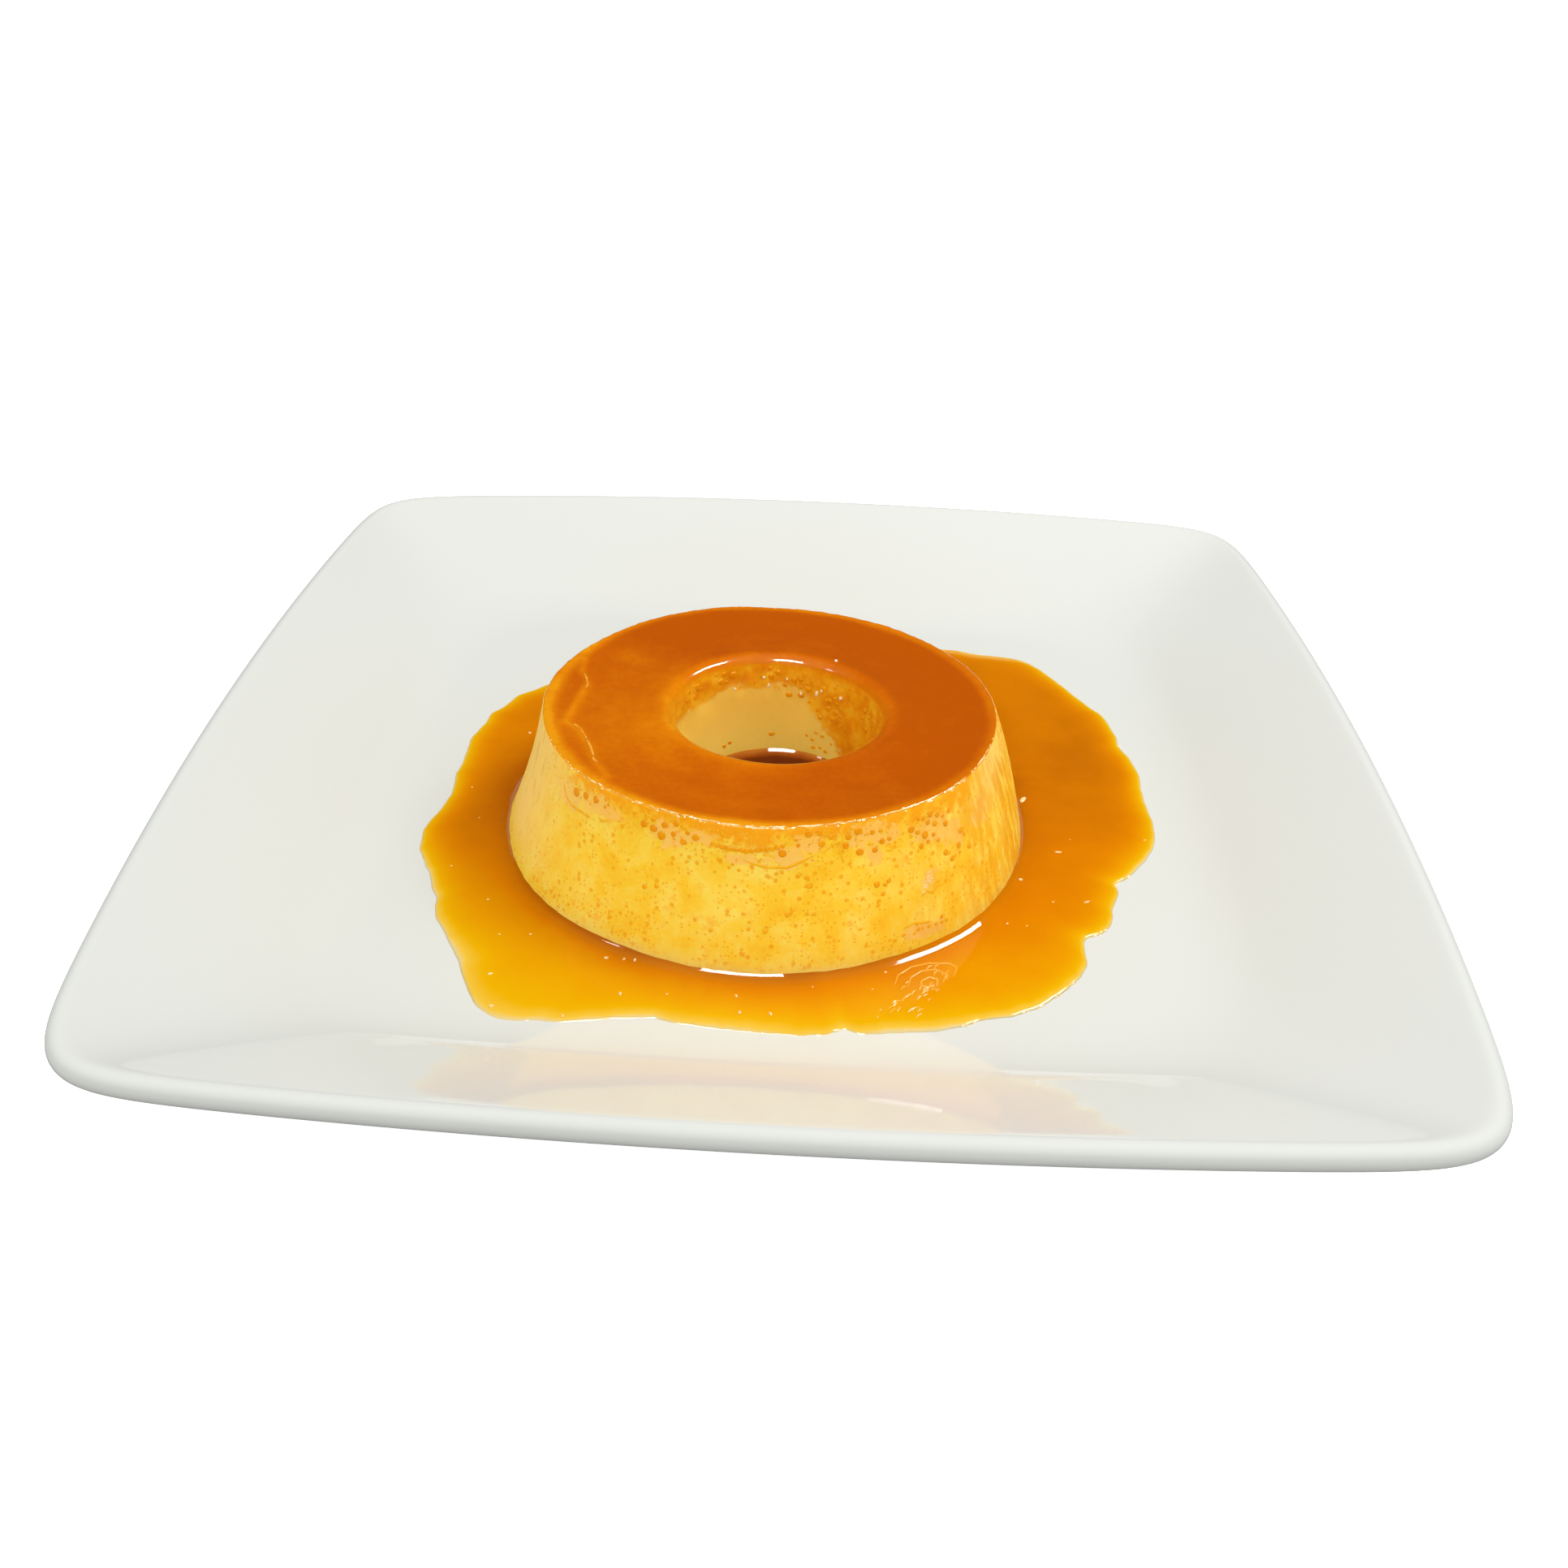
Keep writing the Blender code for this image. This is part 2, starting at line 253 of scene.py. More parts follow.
def custard_finish():
    """Set egg custard: creamy yellow, speckled and stained by the caramel that ran down it, soaked dark on top."""
    custard = Finish(
        "egg_custard", IOR=1.33, Specular_IOR_Level=0.12, Coat_IOR=1.36, Coat_Roughness=0.04,
        Subsurface_Weight=0.3, Subsurface_Scale=0.004, Subsurface_Radius=(1.0, 0.45, 0.12),
    )
    # The plain side: cloudy yellow with paler, pinker patches where no caramel ran.
    cloud = custard.clouds(130.0, 6.0, 0.62)
    side = custard.ramp(cloud, (
        (0.30, colour(249, 186, 24)),
        (0.46, colour(252, 203, 50)),
        (0.64, colour(253, 218, 88)),
    ))
    grain = custard.clouds(1500.0, 2.0, 0.6)
    side = custard.blend(custard.fade(grain, 0.55, 0.75, 0.0, 0.30), side, colour(255, 226, 112))
    side = custard.blend(custard.fade(grain, 0.25, 0.45, 0.30, 0.0), side, colour(246, 186, 28))
    # Speckles: pinprick bubbles that the caramel stained.
    crowd = custard.sum(custard.mark("speckled"), custard.fade(custard.clouds(110.0, 2.0), 0.35, 0.62), "MULTIPLY")
    for size, strength in ((640.0, 0.8), (1250.0, 0.7)):
        speckles = custard.dots(size)
        near = custard.fade(speckles.outputs["Distance"], 0.20, 0.42, strength, 0.0)
        chosen = custard.add("SeparateColor", {"Color": speckles.outputs["Color"]}).outputs[0]
        taken = custard.fade(custard.sum(chosen, crowd), 0.90, 1.0)
        side = custard.blend(custard.sum(near, taken, "MULTIPLY"), side, colour(241, 160, 2))
    # Pale patches.
    rough_edge = custard.clouds(420.0, 3.0)
    patch = custard.fade(custard.sum(custard.mark("pale"), custard.fade(rough_edge, 0.3, 0.7, -0.25, 0.25)), 0.33, 0.60)
    side = custard.blend(patch, side, custard.blend(rough_edge, colour(252, 184, 66), colour(255, 206, 104)))
    # Left side: paler still, with thin brownish streaks that run down it. Low round the foot it is paler too: the
    # custard's flared lip, partly a painted highlight where it meets the caramel.
    streaks = custard.clouds(1.0, 3.0, 0.6, (520.0, 520.0, 90.0))
    pale_and_foot_highlight = custard.mark("pink")
    side = custard.blend(pale_and_foot_highlight, side, colour(253, 206, 104))
    streak = custard.sum(pale_and_foot_highlight, custard.fade(streaks, 0.52, 0.70, 0.0, 0.8), "MULTIPLY")
    side = custard.blend(streak, side, colour(236, 182, 78))
    # Saturated yellow runs at the far right.
    run = custard.sum(custard.mark("run"), custard.fade(streaks, 0.38, 0.58, 0.15, 1.0), "MULTIPLY")
    side = custard.blend(run, side, colour(238, 160, 0))
    # Under the rim the caramel has soaked in and fades downwards.
    ragged = custard.sum(custard.fade(cloud, 0.3, 0.7, -0.25, 0.25), custard.fade(rough_edge, 0.3, 0.7, -0.3, 0.3))
    band = custard.fade(custard.sum(custard.mark("band"), ragged), 0.2, 0.8, 0.0, 0.92)
    unpatched = custard.sum(1.0, custard.sum(patch, 0.8, "MULTIPLY"), "SUBTRACT")
    side = custard.blend(custard.sum(band, unpatched, "MULTIPLY"), side, colour(248, 162, 2))
    # The hole's wall.
    wall_cloud = custard.clouds(260.0, 5.0, 0.65)
    wall = custard.blend(wall_cloud, colour(242, 196, 74), colour(248, 208, 88))
    wall = custard.blend(custard.mark("deep"), wall, colour(254, 222, 104))
    rich = custard.ramp(wall_cloud, (
        (0.35, colour(231, 136, 0)),
        (0.5, colour(239, 160, 4)),
        (0.68, colour(247, 188, 34)),
    ))
    edge = custard.sum(custard.mark("rich"), custard.fade(wall_cloud, 0.3, 0.7, -0.32, 0.32))
    wall = custard.blend(custard.fade(edge, 0.3, 0.7), wall, rich)
    side = custard.blend(custard.mark("wall"), side, wall)
    # The soaked top.
    swirl = custard.fade(custard.clouds(70.0, 5.0, 0.6), 0.3, 0.7, -0.09, 0.09)
    grainy = custard.fade(custard.clouds(700.0, 2.0), 0.3, 0.7, -0.05, 0.05)
    tone = custard.sum(custard.mark("tone"), custard.sum(swirl, grainy))
    top = custard.ramp(tone, (
        (0.0, colour(226, 147, 10)),
        (0.2, colour(217, 122, 2)),
        (0.45, colour(207, 109, 0)),
        (0.7, colour(196, 94, 0)),
        (1.0, colour(184, 82, 0)),
    ))
    soak = custard.mark("soak")
    tint = custard.blend(soak, side, top)
    gloss = custard.fade(soak, 0.0, 0.6, 0.60, 0.15)
    custard.feed(custard.shader, "Coat Weight", custard.fade(soak, 0.0, 0.6))  # the film of syrup on top
    pores = custard.relief(custard.clouds(900.0, 3.0), 0.00012, custard.fade(soak, 0.0, 1.0, 0.55, 0.10))
    return custard.paint(tint, gloss, pores)


def stain_finish():
    """Caramel caught in the bubbles and cracks of the custard."""
    stain = Finish("caramel_in_bubbles", IOR=1.25, Specular_IOR_Level=0.25)
    cloud = stain.clouds(700.0, 2.0)
    tint = stain.ramp(stain.sum(stain.mark("strength"), stain.fade(cloud, 0.3, 0.7, -0.15, 0.15)), (
        (0.1, colour(249, 186, 30)),
        (0.5, colour(244, 165, 12)),
        (0.9, colour(237, 148, 4)),
    ))
    return stain.paint(tint, 0.22)


def amber_finish():
    """Runny caramel: golden where it is thin and amber where it lies deep, darker still where the pudding's shade is
    painted in beside it.
    """
    amber = Finish("amber_caramel", IOR=1.25)
    wander = amber.fade(amber.clouds(45.0, 4.0), 0.3, 0.7, -0.06, 0.06)
    tint = amber.ramp(amber.sum(amber.mark("depth"), wander), (
        (0.0, colour(224, 200, 138)),
        (0.10, colour(230, 187, 62)),
        (0.26, colour(224, 168, 3)),
        (0.48, colour(221, 148, 1)),
        (0.70, colour(211, 123, 0)),
        (0.86, colour(195, 110, 2)),
        (1.0, colour(176, 93, 4)),
    ))
    return amber.paint(tint, amber.fade(amber.clouds(300.0, 2.0), 0.3, 0.7, 0.03, 0.06))


def dark_caramel_finish():
    """Deep caramel in the hole, nearly brown."""
    dark = Finish("dark_caramel", IOR=1.24)
    tint = dark.ramp(dark.sum(dark.mark("depth"), dark.fade(dark.clouds(90.0, 3.0), 0.3, 0.7, -0.1, 0.1)), (
        (0.0, colour(206, 132, 34)),
        (0.3, colour(166, 84, 8)),
        (0.7, colour(116, 44, 2)),
        (1.0, colour(98, 32, 1)),
    ))
    return dark.paint(tint, 0.05)


def crumb_finish():
    """Flecks of set custard that have sunk into the caramel."""
    crumb = Finish("custard_crumb", IOR=1.38)
    tint = crumb.blend(crumb.clouds(800.0, 3.0), colour(252, 198, 104), colour(255, 232, 176))
    return crumb.paint(tint, 0.25)


def fold_highlight_finish():
    """The caramel skin of the top where it has puckered into a thin fold, painted paler partly as the fold's highlight.
    """
    fold = Finish("puckered_caramel_skin_painted_highlight", IOR=1.42)
    cloud = fold.clouds(500.0, 3.0)
    tint = fold.ramp(fold.sum(fold.mark("tone"), fold.fade(cloud, 0.3, 0.7, -0.18, 0.5)), (
        (0.1, colour(255, 206, 120)),
        (0.4, colour(246, 172, 60)),
        (0.8, colour(230, 132, 10)),
    ))
    return fold.paint(tint, 0.12)


def rim_highlight_finish():
    """Pale, near-white beads that paint the highlight line along the front of the rim, shaped as the caramel skin's
    torn edge.
    """
    thread = Finish("rim_highlight_paint", IOR=1.45)
    tint = thread.ramp(thread.sum(thread.mark("tone"), thread.fade(thread.clouds(900.0, 2.0), 0.3, 0.7, -0.3, 0.3)), (
        (0.0, colour(240, 164, 50)),
        (0.45, colour(250, 196, 100)),
        (0.9, colour(255, 234, 176)),
    ))
    return thread.paint(tint, 0.2)


def ripple_reflection_finish():
    """Raised wrinkles in the caramel, painted a little paler than what lies round them, partly as the reflection of a
    lamp in them.
    """
    ripple = Finish("wrinkled_caramel_skin_painted_reflection", IOR=1.45)
    tint = ripple.blend(ripple.clouds(400.0, 2.0), colour(244, 160, 26), colour(252, 190, 80))
    return ripple.paint(tint, 0.08)


def drop_glint_finish():
    """Tiny drops at the puddle's edge and wet bumps in the hole, very glossy and painted pale, near white, partly as
    their glints.
    """
    drop = Finish("syrup_drop_painted_glint", IOR=1.5)
    tint = drop.blend(drop.clouds(600.0, 2.0), colour(246, 214, 150), colour(255, 246, 224))
    return drop.paint(tint, 0.04)


# ---------------------------------------------------------------- plate

PLATE_HALF_WIDTH = 132.5
FLOOR_THICKNESS = 4.0
LIP_RADIUS = 2.5
WELL_HALF_WIDTH = 84.0
WALL_FOOT_HALF_WIDTH = 100.0
WALL_SLOPE = radians(27)
FOOT_RING_INNER = 71.0
FOOT_RING_OUTER = 77.5
FOOT_RING_EDGE = 1.4
RIM_BOW = 0.0495
RIM_CORNER_POWER = 20.8
RIM_CORNER_SAG = 1.4
WELL_BOW = 0.03
WELL_CORNER_POWER = 7.0
CORNER_CROWDING = 0.19


def bowed_square(bearing, bow, power):
    """Where a square with swelled sides and rounded corners, one unit from middle to side, is reached."""
    across, along = abs(cos(bearing)), abs(sin(bearing))
    reach = 1.0
    for _ in range(10):
        side_x = reach * across + bow * (reach * along / (1.0 - bow)) ** 2
        side_y = reach * along + bow * (reach * across / (1.0 - bow)) ** 2
        reach /= (side_x**power + side_y**power) ** (1.0 / power)
    return reach * cos(bearing), reach * sin(bearing)


def plate_section():
    """Half-width, height and foot mark along the plate's section, from its middle over the lip to underneath."""
    fillet = (WALL_FOOT_HALF_WIDTH - WELL_HALF_WIDTH) / sin(WALL_SLOPE)
    fillet_z = FLOOR + fillet
    lip_x = PLATE_HALF_WIDTH - LIP_RADIUS
    wall_x = WELL_HALF_WIDTH + fillet * sin(WALL_SLOPE)
    wall_z = fillet_z - fillet * cos(WALL_SLOPE)
    lip_z = wall_z + (lip_x - LIP_RADIUS * sin(WALL_SLOPE) - wall_x) * tan(WALL_SLOPE) - LIP_RADIUS * cos(WALL_SLOPE)
    section = [(0.0, FLOOR), (20.0, FLOOR), (45.0, FLOOR), (66.0, FLOOR), (79.0, FLOOR)]
    for step in range(7):
        slope = WALL_SLOPE * step / 6
        section.append((WELL_HALF_WIDTH + fillet * sin(slope), fillet_z - fillet * cos(slope)))
    for share in (0.2, 0.45, 0.7, 0.9):
        section.append((mix(wall_x, lip_x, share), wall_z + (lip_x - wall_x) * share * tan(WALL_SLOPE)))
    for step in range(9):
        turn = WALL_SLOPE + pi / 2 - pi * step / 8
        section.append((lip_x + LIP_RADIUS * cos(turn), lip_z + LIP_RADIUS * sin(turn)))
    outer = fillet + FLOOR_THICKNESS
    for step in range(5):
        slope = WALL_SLOPE * (1 - step / 4)
        section.append((WELL_HALF_WIDTH + outer * sin(slope), fillet_z - outer * cos(slope)))
    under = FLOOR - FLOOR_THICKNESS
    for half_width, height in (
        (FOOT_RING_OUTER + 1.0, under), (FOOT_RING_OUTER, under + 0.05), (FOOT_RING_OUTER - 0.5, 0.9),
        (FOOT_RING_OUTER - FOOT_RING_EDGE, 0.15), (FOOT_RING_OUTER - 2.0, 0.0), (FOOT_RING_INNER + 2.0, 0.0),
        (FOOT_RING_INNER + FOOT_RING_EDGE, 0.15), (FOOT_RING_INNER + 0.5, 0.9), (FOOT_RING_INNER, under + 0.05),
        (FOOT_RING_INNER - 1.0, under), (40.0, under), (0.0, under),
    ):
        section.append((half_width, height))
    return section


def build_plate():
    section = plate_section()
    lip_middle = PLATE_HALF_WIDTH - LIP_RADIUS
    shapes = {}

    def outline(number, bearing):
        """Points of one loop: all loops with the same reach share their outline."""
        half_width, height = section[number]
        share = smooth_step(WELL_HALF_WIDTH, lip_middle, half_width)
        bow = mix(WELL_BOW, RIM_BOW, share)
        power = WELL_CORNER_POWER * (RIM_CORNER_POWER / WELL_CORNER_POWER) ** share
        scale = min(half_width, lip_middle)
        if half_width < 50.0:
            power = mix(2.0, power, smooth_step(10.0, 60.0, half_width))
        x, y = bowed_square(bearing, bow, power)
        if half_width > lip_middle:
            before = bowed_square(bearing - 0.02, bow, power)
            after = bowed_square(bearing + 0.02, bow, power)
            run_x, run_y = after[0] - before[0], after[1] - before[1]
            growth = (half_width - scale) / hypot(run_x, run_y)
        else:
            run_x = run_y = growth = 0.0
        sag = RIM_CORNER_SAG * share * (x * y) ** 2
        return scale * x + growth * run_y, scale * y - growth * run_x, height - sag

    def place(station, bearing):
        number = int(round(station))
        crowded = bearing + CORNER_CROWDING * sin(4.0 * bearing)
        x, y, z = outline(number, crowded)
        foot = 1.0 if section[number][1] < 0.5 else 0.0
        return (x, y, z), (foot,)

    plate = spun_skin("porcelain_plate", len(section) - 1, 160, 0, place, ("foot",))
    smoother = plate.modifiers.new("smoother", "SUBSURF")
    smoother.levels = smoother.render_levels = 1
    return plate


# ---------------------------------------------------------------- pudding

PUDDING_HEIGHT = 30.6
BASE_RADIUS = 58.1
TOP_RADIUS = 49.35
RIM_ROUND = 0.8
TOP_TILT = -0.024
TOP_SWELL = 1.3
TOP_DISHING = 0.35
HOLE_TOP_RADIUS = 22.6
HOLE_BASE_RADIUS = 18.8
HOLE_RIM_ROUND = 3.0
SIDE_LEAN = atan2(BASE_RADIUS - TOP_RADIUS, PUDDING_HEIGHT)

# Stations at which the skin changes from one surface to the next.
RIM_START = 13
TOP_START = 15
HOLE_RIM_START = 25
WALL_START = 28
UNDER_START = 38
LAST_STATION = 40

# Pale patches on the side: bearing, height, half-width in degrees, half-height.
PALE_PATCHES = (
    (219, 25.0, 6.0, 2.2), (230, 27.0, 6.0, 1.8), (249, 26.3, 5.0, 2.6), (256, 27.2, 4.0, 1.6),
    (266, 24.2, 5.0, 1.0), (276, 25.0, 5.0, 2.0), (281, 27.6, 3.5, 2.0), (295, 27.6, 4.5, 2.6),
    (296, 23.6, 2.6, 2.2), (301, 26.5, 3.0, 2.0), (312, 24.8, 6.0, 2.6), (318, 22.5, 4.0, 3.0),
    (306, 6.0, 4.5, 1.8), (309, 5.4, 3.0, 1.4), (309, 15.9, 2.5, 1.8), (329, 23.0, 4.0, 3.5),
)


# Soft folds of skin on the soaked top, each a line of bearings and distances from the pudding's middle.
SOFT_FOLDS = (
    ((158, 46.8), (164, 45.2), (171, 42.0), (178, 42.3), (187, 43.4), (195, 45.4)),
    ((193.5, 45.4), (200, 42.9), (208, 42.8), (217, 44.4), (226, 46.0)),
)


def unevenness(bearing):
    """Slow swelling of the side: set custard is never quite round."""
    return 0.35 * sin(2.0 * bearing + 0.7) + 0.3 * sin(3.0 * bearing - 1.1) + 0.15 * sin(7.0 * bearing)


def side_radius(height, bearing):
    share = height / PUDDING_HEIGHT
    bulge = 0.8 * cos(bearing) * sin(pi * share)
    slump = 1.8 * bell(turned_from(bearing, 218), 36) + 0.5 * bell(turned_from(bearing, 325), 26)
    return mix(BASE_RADIUS, TOP_RADIUS, share) + bulge + unevenness(bearing) + slump * (1.0 - share) ** 1.5


def top_rise(bearing, radius):
    """The top tips to the front and swells at the back left."""
    swell = TOP_SWELL * bell(turned_from(bearing, 118), 42)
    return TOP_TILT * radius * sin(bearing) + swell * radius / TOP_RADIUS


def wall_radius(height):
    share = min(height / (PUDDING_HEIGHT - HOLE_RIM_ROUND), 1.0)
    return mix(HOLE_BASE_RADIUS, HOLE_TOP_RADIUS, share)


def skin_section(station, bearing):
    """Radius, height, outward direction, share of the side's unevenness and share of the hole's shift."""
    rim_middle = TOP_RADIUS + RIM_ROUND * (tan(SIDE_LEAN) - 1.0 / cos(SIDE_LEAN))
    hole_middle = HOLE_TOP_RADIUS + HOLE_RIM_ROUND
    if station <= RIM_START:
        tuck = PUDDING_HEIGHT - RIM_ROUND * (1.0 - sin(SIDE_LEAN))
        height = tuck * station / RIM_START
        return side_radius(height, bearing), height, cos(SIDE_LEAN), sin(SIDE_LEAN), 0.0, 0.0
    if station <= TOP_START:
        turn = mix(SIDE_LEAN, pi / 2, (station - RIM_START) / (TOP_START - RIM_START))
        radius = rim_middle + RIM_ROUND * cos(turn) + unevenness(bearing)
        return radius, PUDDING_HEIGHT - RIM_ROUND * (1.0 - sin(turn)), cos(turn), sin(turn), 0.0, 0.0
    if station <= HOLE_RIM_START:
        share = (station - TOP_START) / (HOLE_RIM_START - TOP_START)
        radius = mix(rim_middle + unevenness(bearing), hole_middle, share)
        return radius, PUDDING_HEIGHT - TOP_DISHING * sin(pi * share), 0.0, 1.0, 0.0, share
    if station <= WALL_START:
        turn = mix(pi / 2, pi, (station - HOLE_RIM_START) / (WALL_START - HOLE_RIM_START))
        height = PUDDING_HEIGHT - HOLE_RIM_ROUND * (1.0 - sin(turn))
        return hole_middle + HOLE_RIM_ROUND * cos(turn), height, cos(turn), sin(turn), 0.0, 1.0
    if station <= UNDER_START:
        share = (station - WALL_START) / (UNDER_START - WALL_START)
        height = (PUDDING_HEIGHT - HOLE_RIM_ROUND) * (1.0 - share)
        return wall_radius(height), height, -1.0, 0.0, 0.0, 1.0
    share = (station - UNDER_START) / (LAST_STATION - UNDER_START)
    return mix(wall_radius(0.0), side_radius(0.0, bearing), share), 0.0, 0.0, -1.0, 0.0, 1.0 - share


def skin_spot(station, bearing):
    """Place of the smooth skin in millimetres, and its outward direction."""
    radius, height, outwards, upwards, _, hole_share = skin_section(station, bearing)
    middle = PUDDING_MIDDLE + HOLE_SHIFT * hole_share
    rise = top_rise(bearing, radius) * height / PUDDING_HEIGHT
    spot = Vector((middle.x + radius * cos(bearing), middle.y + radius * sin(bearing), FLOOR + height + rise))
    out = Vector((outwards * cos(bearing), outwards * sin(bearing), upwards))
    return spot, out, radius, height


def from_above(bearing, distance):
    """A point seen from above, by its bearing and its distance from the pudding's middle."""
    return Vector((distance * cos(bearing), distance * sin(bearing)))


FOLD_LINES = [[from_above(radians(turn), distance) for turn, distance in fold] for fold in SOFT_FOLDS]


def soft_folds(bearing, radius, spread):
    """1 on the crest of the soft folds of the top's skin, falling away over spread millimetres."""
    here = from_above(bearing, radius)
    nearest = 99.0
    for corners in FOLD_LINES:
        for start, end in zip(corners, corners[1:]):
            run = end - start
            share = min(max((here - start).dot(run) / run.length_squared, 0.0), 1.0)
            nearest = min(nearest, (start + run * share - here).length)
    return bell(nearest, spread)


def skin_relief(station, bearing, spot, height):
    """How far the set custard stands out from its smooth shape."""
    x, y, z = spot
    if station <= TOP_START:
        proud = 0.14 * lumps(x, y, z, 11.0, 3.0) + 0.06 * lumps(x, y, z, 3.0, 5.0)
        proud += 0.45 * bell(height, 1.6)  # the foot spreads a little
        wavy = bell(turned_from(bearing, 328), 10) * smooth_step(2, 6, height) * smooth_step(28, 22, height)
        proud += 0.30 * wavy * lumps(x, y, 0.18 * z, 1.6, 8.0)
        if station >= RIM_START - 1:
            nick = lumps(x, y, 0.0, 1.7, 11.0) + 0.6 * lumps(x, y, 0.0, 0.8, 14.0)
            worn = 0.14 + 0.18 * bell(turned_from(bearing, 265), 60)
            proud += worn * nick * bell(station - TOP_START + 1.0, 1.1)
        return proud
    if station <= HOLE_RIM_START:
        away = smooth_step(TOP_START, TOP_START + 1.5, station)
        radius = hypot(x - PUDDING_MIDDLE.x, y - PUDDING_MIDDLE.y)
        return away * (0.10 * lumps(x, y, z, 16.0, 21.0) + 0.02 * lumps(x, y, z, 3.0, 23.0)) + 0.3 * soft_folds(bearing, radius, 0.8)
    if station <= UNDER_START:
        deep = smooth_step(HOLE_RIM_START, WALL_START, station)
        upper = smooth_step(17, 23, height) * smooth_step(29.5, 27, height)
        return deep * (0.22 * lumps(x, y, z, 8.0, 31.0) + 0.35 * upper * lumps(x, y, z * 0.6, 2.6, 33.0))
    return 0.0


def pale_share(bearing, height):
    """How strongly a point of the side lies in a pale patch."""
    share = 0.0
    for centre, level, wide, tall in PALE_PATCHES:
        away = hypot(turned_from(bearing, centre) / wide, (height - level) / tall)
        share = max(share, 1.0 - 0.6 * away)
    return max(share, 0.0)


def skin_marks(station, bearing, radius, height):
    """Marks that the custard's finish reads: soak, tone, band, pale, pink, run, speckled, wall, rich and deep."""
    side = 1.0 - smooth_step(RIM_START, TOP_START, station)
    below = PUDDING_HEIGHT - height
    soak = smooth_step(RIM_START + 0.3, RIM_START + 1.3, station)
    left = bell(turned_from(bearing, 190), 75)
    back = bell(turned_from(bearing, 95), 70)
    right = bell(turned_from(bearing, 350), 65)
    front = bell(turned_from(bearing, 270), 55)
    near_hole = 1.0 - smooth_step(HOLE_TOP_RADIUS + 1.0, HOLE_TOP_RADIUS + 15.0, radius)
    near_rim = smooth_step(TOP_RADIUS - 3.6, TOP_RADIUS - 0.9, radius)
    tone = 0.76 - 0.20 * left + 0.26 * back + 0.28 * right + 0.08 * front
    tone -= 0.20 * near_hole * (0.4 + 0.8 * left)
    tone -= (0.45 + 0.35 * front + 0.40 * back) * near_rim
    tone -= 0.30 * (1.0 - smooth_step(HOLE_TOP_RADIUS + 1.6, HOLE_TOP_RADIUS + 5.0, radius))
    tone += 0.11 * lumps(12.0 * cos(bearing), 12.0 * sin(bearing), 0.7 * radius, 3.0, 51.0)
    tone += 0.20 * bell(turned_from(bearing, 128), 18)
    if TOP_START < station < HOLE_RIM_START:
        # Lighter along the crests of the soft folds: paler skin, partly a painted highlight.
        tone -= 0.42 * soft_folds(bearing, radius, 1.0)
        tone -= 0.22 * bell(turned_from(bearing, 150), 4) * bell(radius - 39.0, 5.0)
    deep = 0.0
    wall = 0.0
    rich = 0.0
    if station > HOLE_RIM_START:
        drop = smooth_step(HOLE_RIM_START, WALL_START + 0.6, station)
        soak = 1.0 - smooth_step(0.55, 1.0, drop)
        tone = mix(tone, -0.05, drop)
        wall = 1.0
        facing = turned_from(bearing, 58)
        rich = smooth_step(-12, 12, -facing + 2.3 * (height - 15.5)) * smooth_step(-150, -120, facing)
        deep = smooth_step(22, 8, height)
        rich = max(rich, smooth_step(20, 26.5, height))
        side = 0.0
    unsoaked = max(bell(turned_from(bearing, 200), 19), 0.9 * bell(turned_from(bearing, 340), 13))
    band = side * max(0.0, 1.0 - below / 6.8) * (1.0 - 0.95 * unsoaked) - 0.45 * unsoaked
    pale = side * pale_share(bearing, height)
    pink = side * max(
        bell(turned_from(bearing, 196), 17) * smooth_step(1, 10, height),
        0.9 * unsoaked * smooth_step(18, 26, height),
        # Paler low round the foot: the custard's flared lip, partly a painted highlight where it meets the caramel.
        0.9 * bell(height - 1.5, 2.2) * bell(turned_from(bearing, 345), 26),
        bell(height - 1.2, 1.8) * smooth_step(205, 232, degrees(bearing)) * smooth_step(305, 285, degrees(bearing)),
    )
    run = side * max(
        bell(turned_from(bearing, 347), 15) * smooth_step(30, 24, height),
        0.70 * bell(turned_from(bearing, 328), 11),
        0.30 * bell(turned_from(bearing, 312), 12),
    )
    speckled = side * (0.38 + 0.42 * smooth_step(13, 3, height) + 0.40 * smooth_step(18, 28, height))
    return soak, tone, band, pale, pink, run, speckled, wall, rich, deep


def build_pudding():
    def place(station, bearing):
        station %= LAST_STATION  # the underside ends where the side begins, so the seam under the foot closes
        spot, out, radius, height = skin_spot(station, bearing)
        proud = skin_relief(station, bearing, spot, height)
        return spot + out * proud, skin_marks(station, bearing, radius, height)

    marks = ("soak", "tone", "band", "pale", "pink", "run", "speckled", "wall", "rich", "deep")
    return spun_skin("custard_ring", LAST_STATION, 110, 3, place, marks)


# ---------------------------------------------------------------- caramel

PUDDLE_DEPTH = 1.5
PUDDLE_RADIUS = 72.5
MENISCUS_STEEP = 0.36  # slope added close to the custard, and how far out that reaches
MENISCUS_STEEP_RUN = (0.2, 0.5)
MENISCUS_EVEN = 0.51  # the even slope further out, and where it eases off
MENISCUS_EVEN_RUN = (1.2, 2.0)
# Tongues of caramel: bearing, extra reach, half spread in degrees.
PUDDLE_TONGUES = (
    (46, 29.2, 46), (51, 5, 6), (123, 10, 23), (151, 7.2, 18), (190, 5, 10), (217, 7, 18), (236, 13, 11),
    (316, 10, 24), (329, -3, 3), (359, 5, 10),
)
# Small bays and bumps along the edge, in the same way.
EDGE_SCALLOPS = (
    (17, 1.0, 3), (25, -1.3, 2.5), (33, 0.8, 2.5), (43, 0.7, 4), (61, 1.2, 3), (70, -1.0, 3), (82, 1.2, 5),
    (100, -1.0, 4), (112, 0.9, 3), (142, 1.2, 3), (149, 0.9, 2), (158, 0.7, 2), (170, 0.7, 3), (207, -0.6, 1.5),
    (212, 0.4, 1.5), (240, -1.0, 2), (255, -0.5, 2), (284, -1.4, 1.6), (277, 0.5, 2), (304, -1.0, 3),
    (331, -0.9, 1.5), (336, 0.6, 2), (346.5, -1.7, 1.6),
)


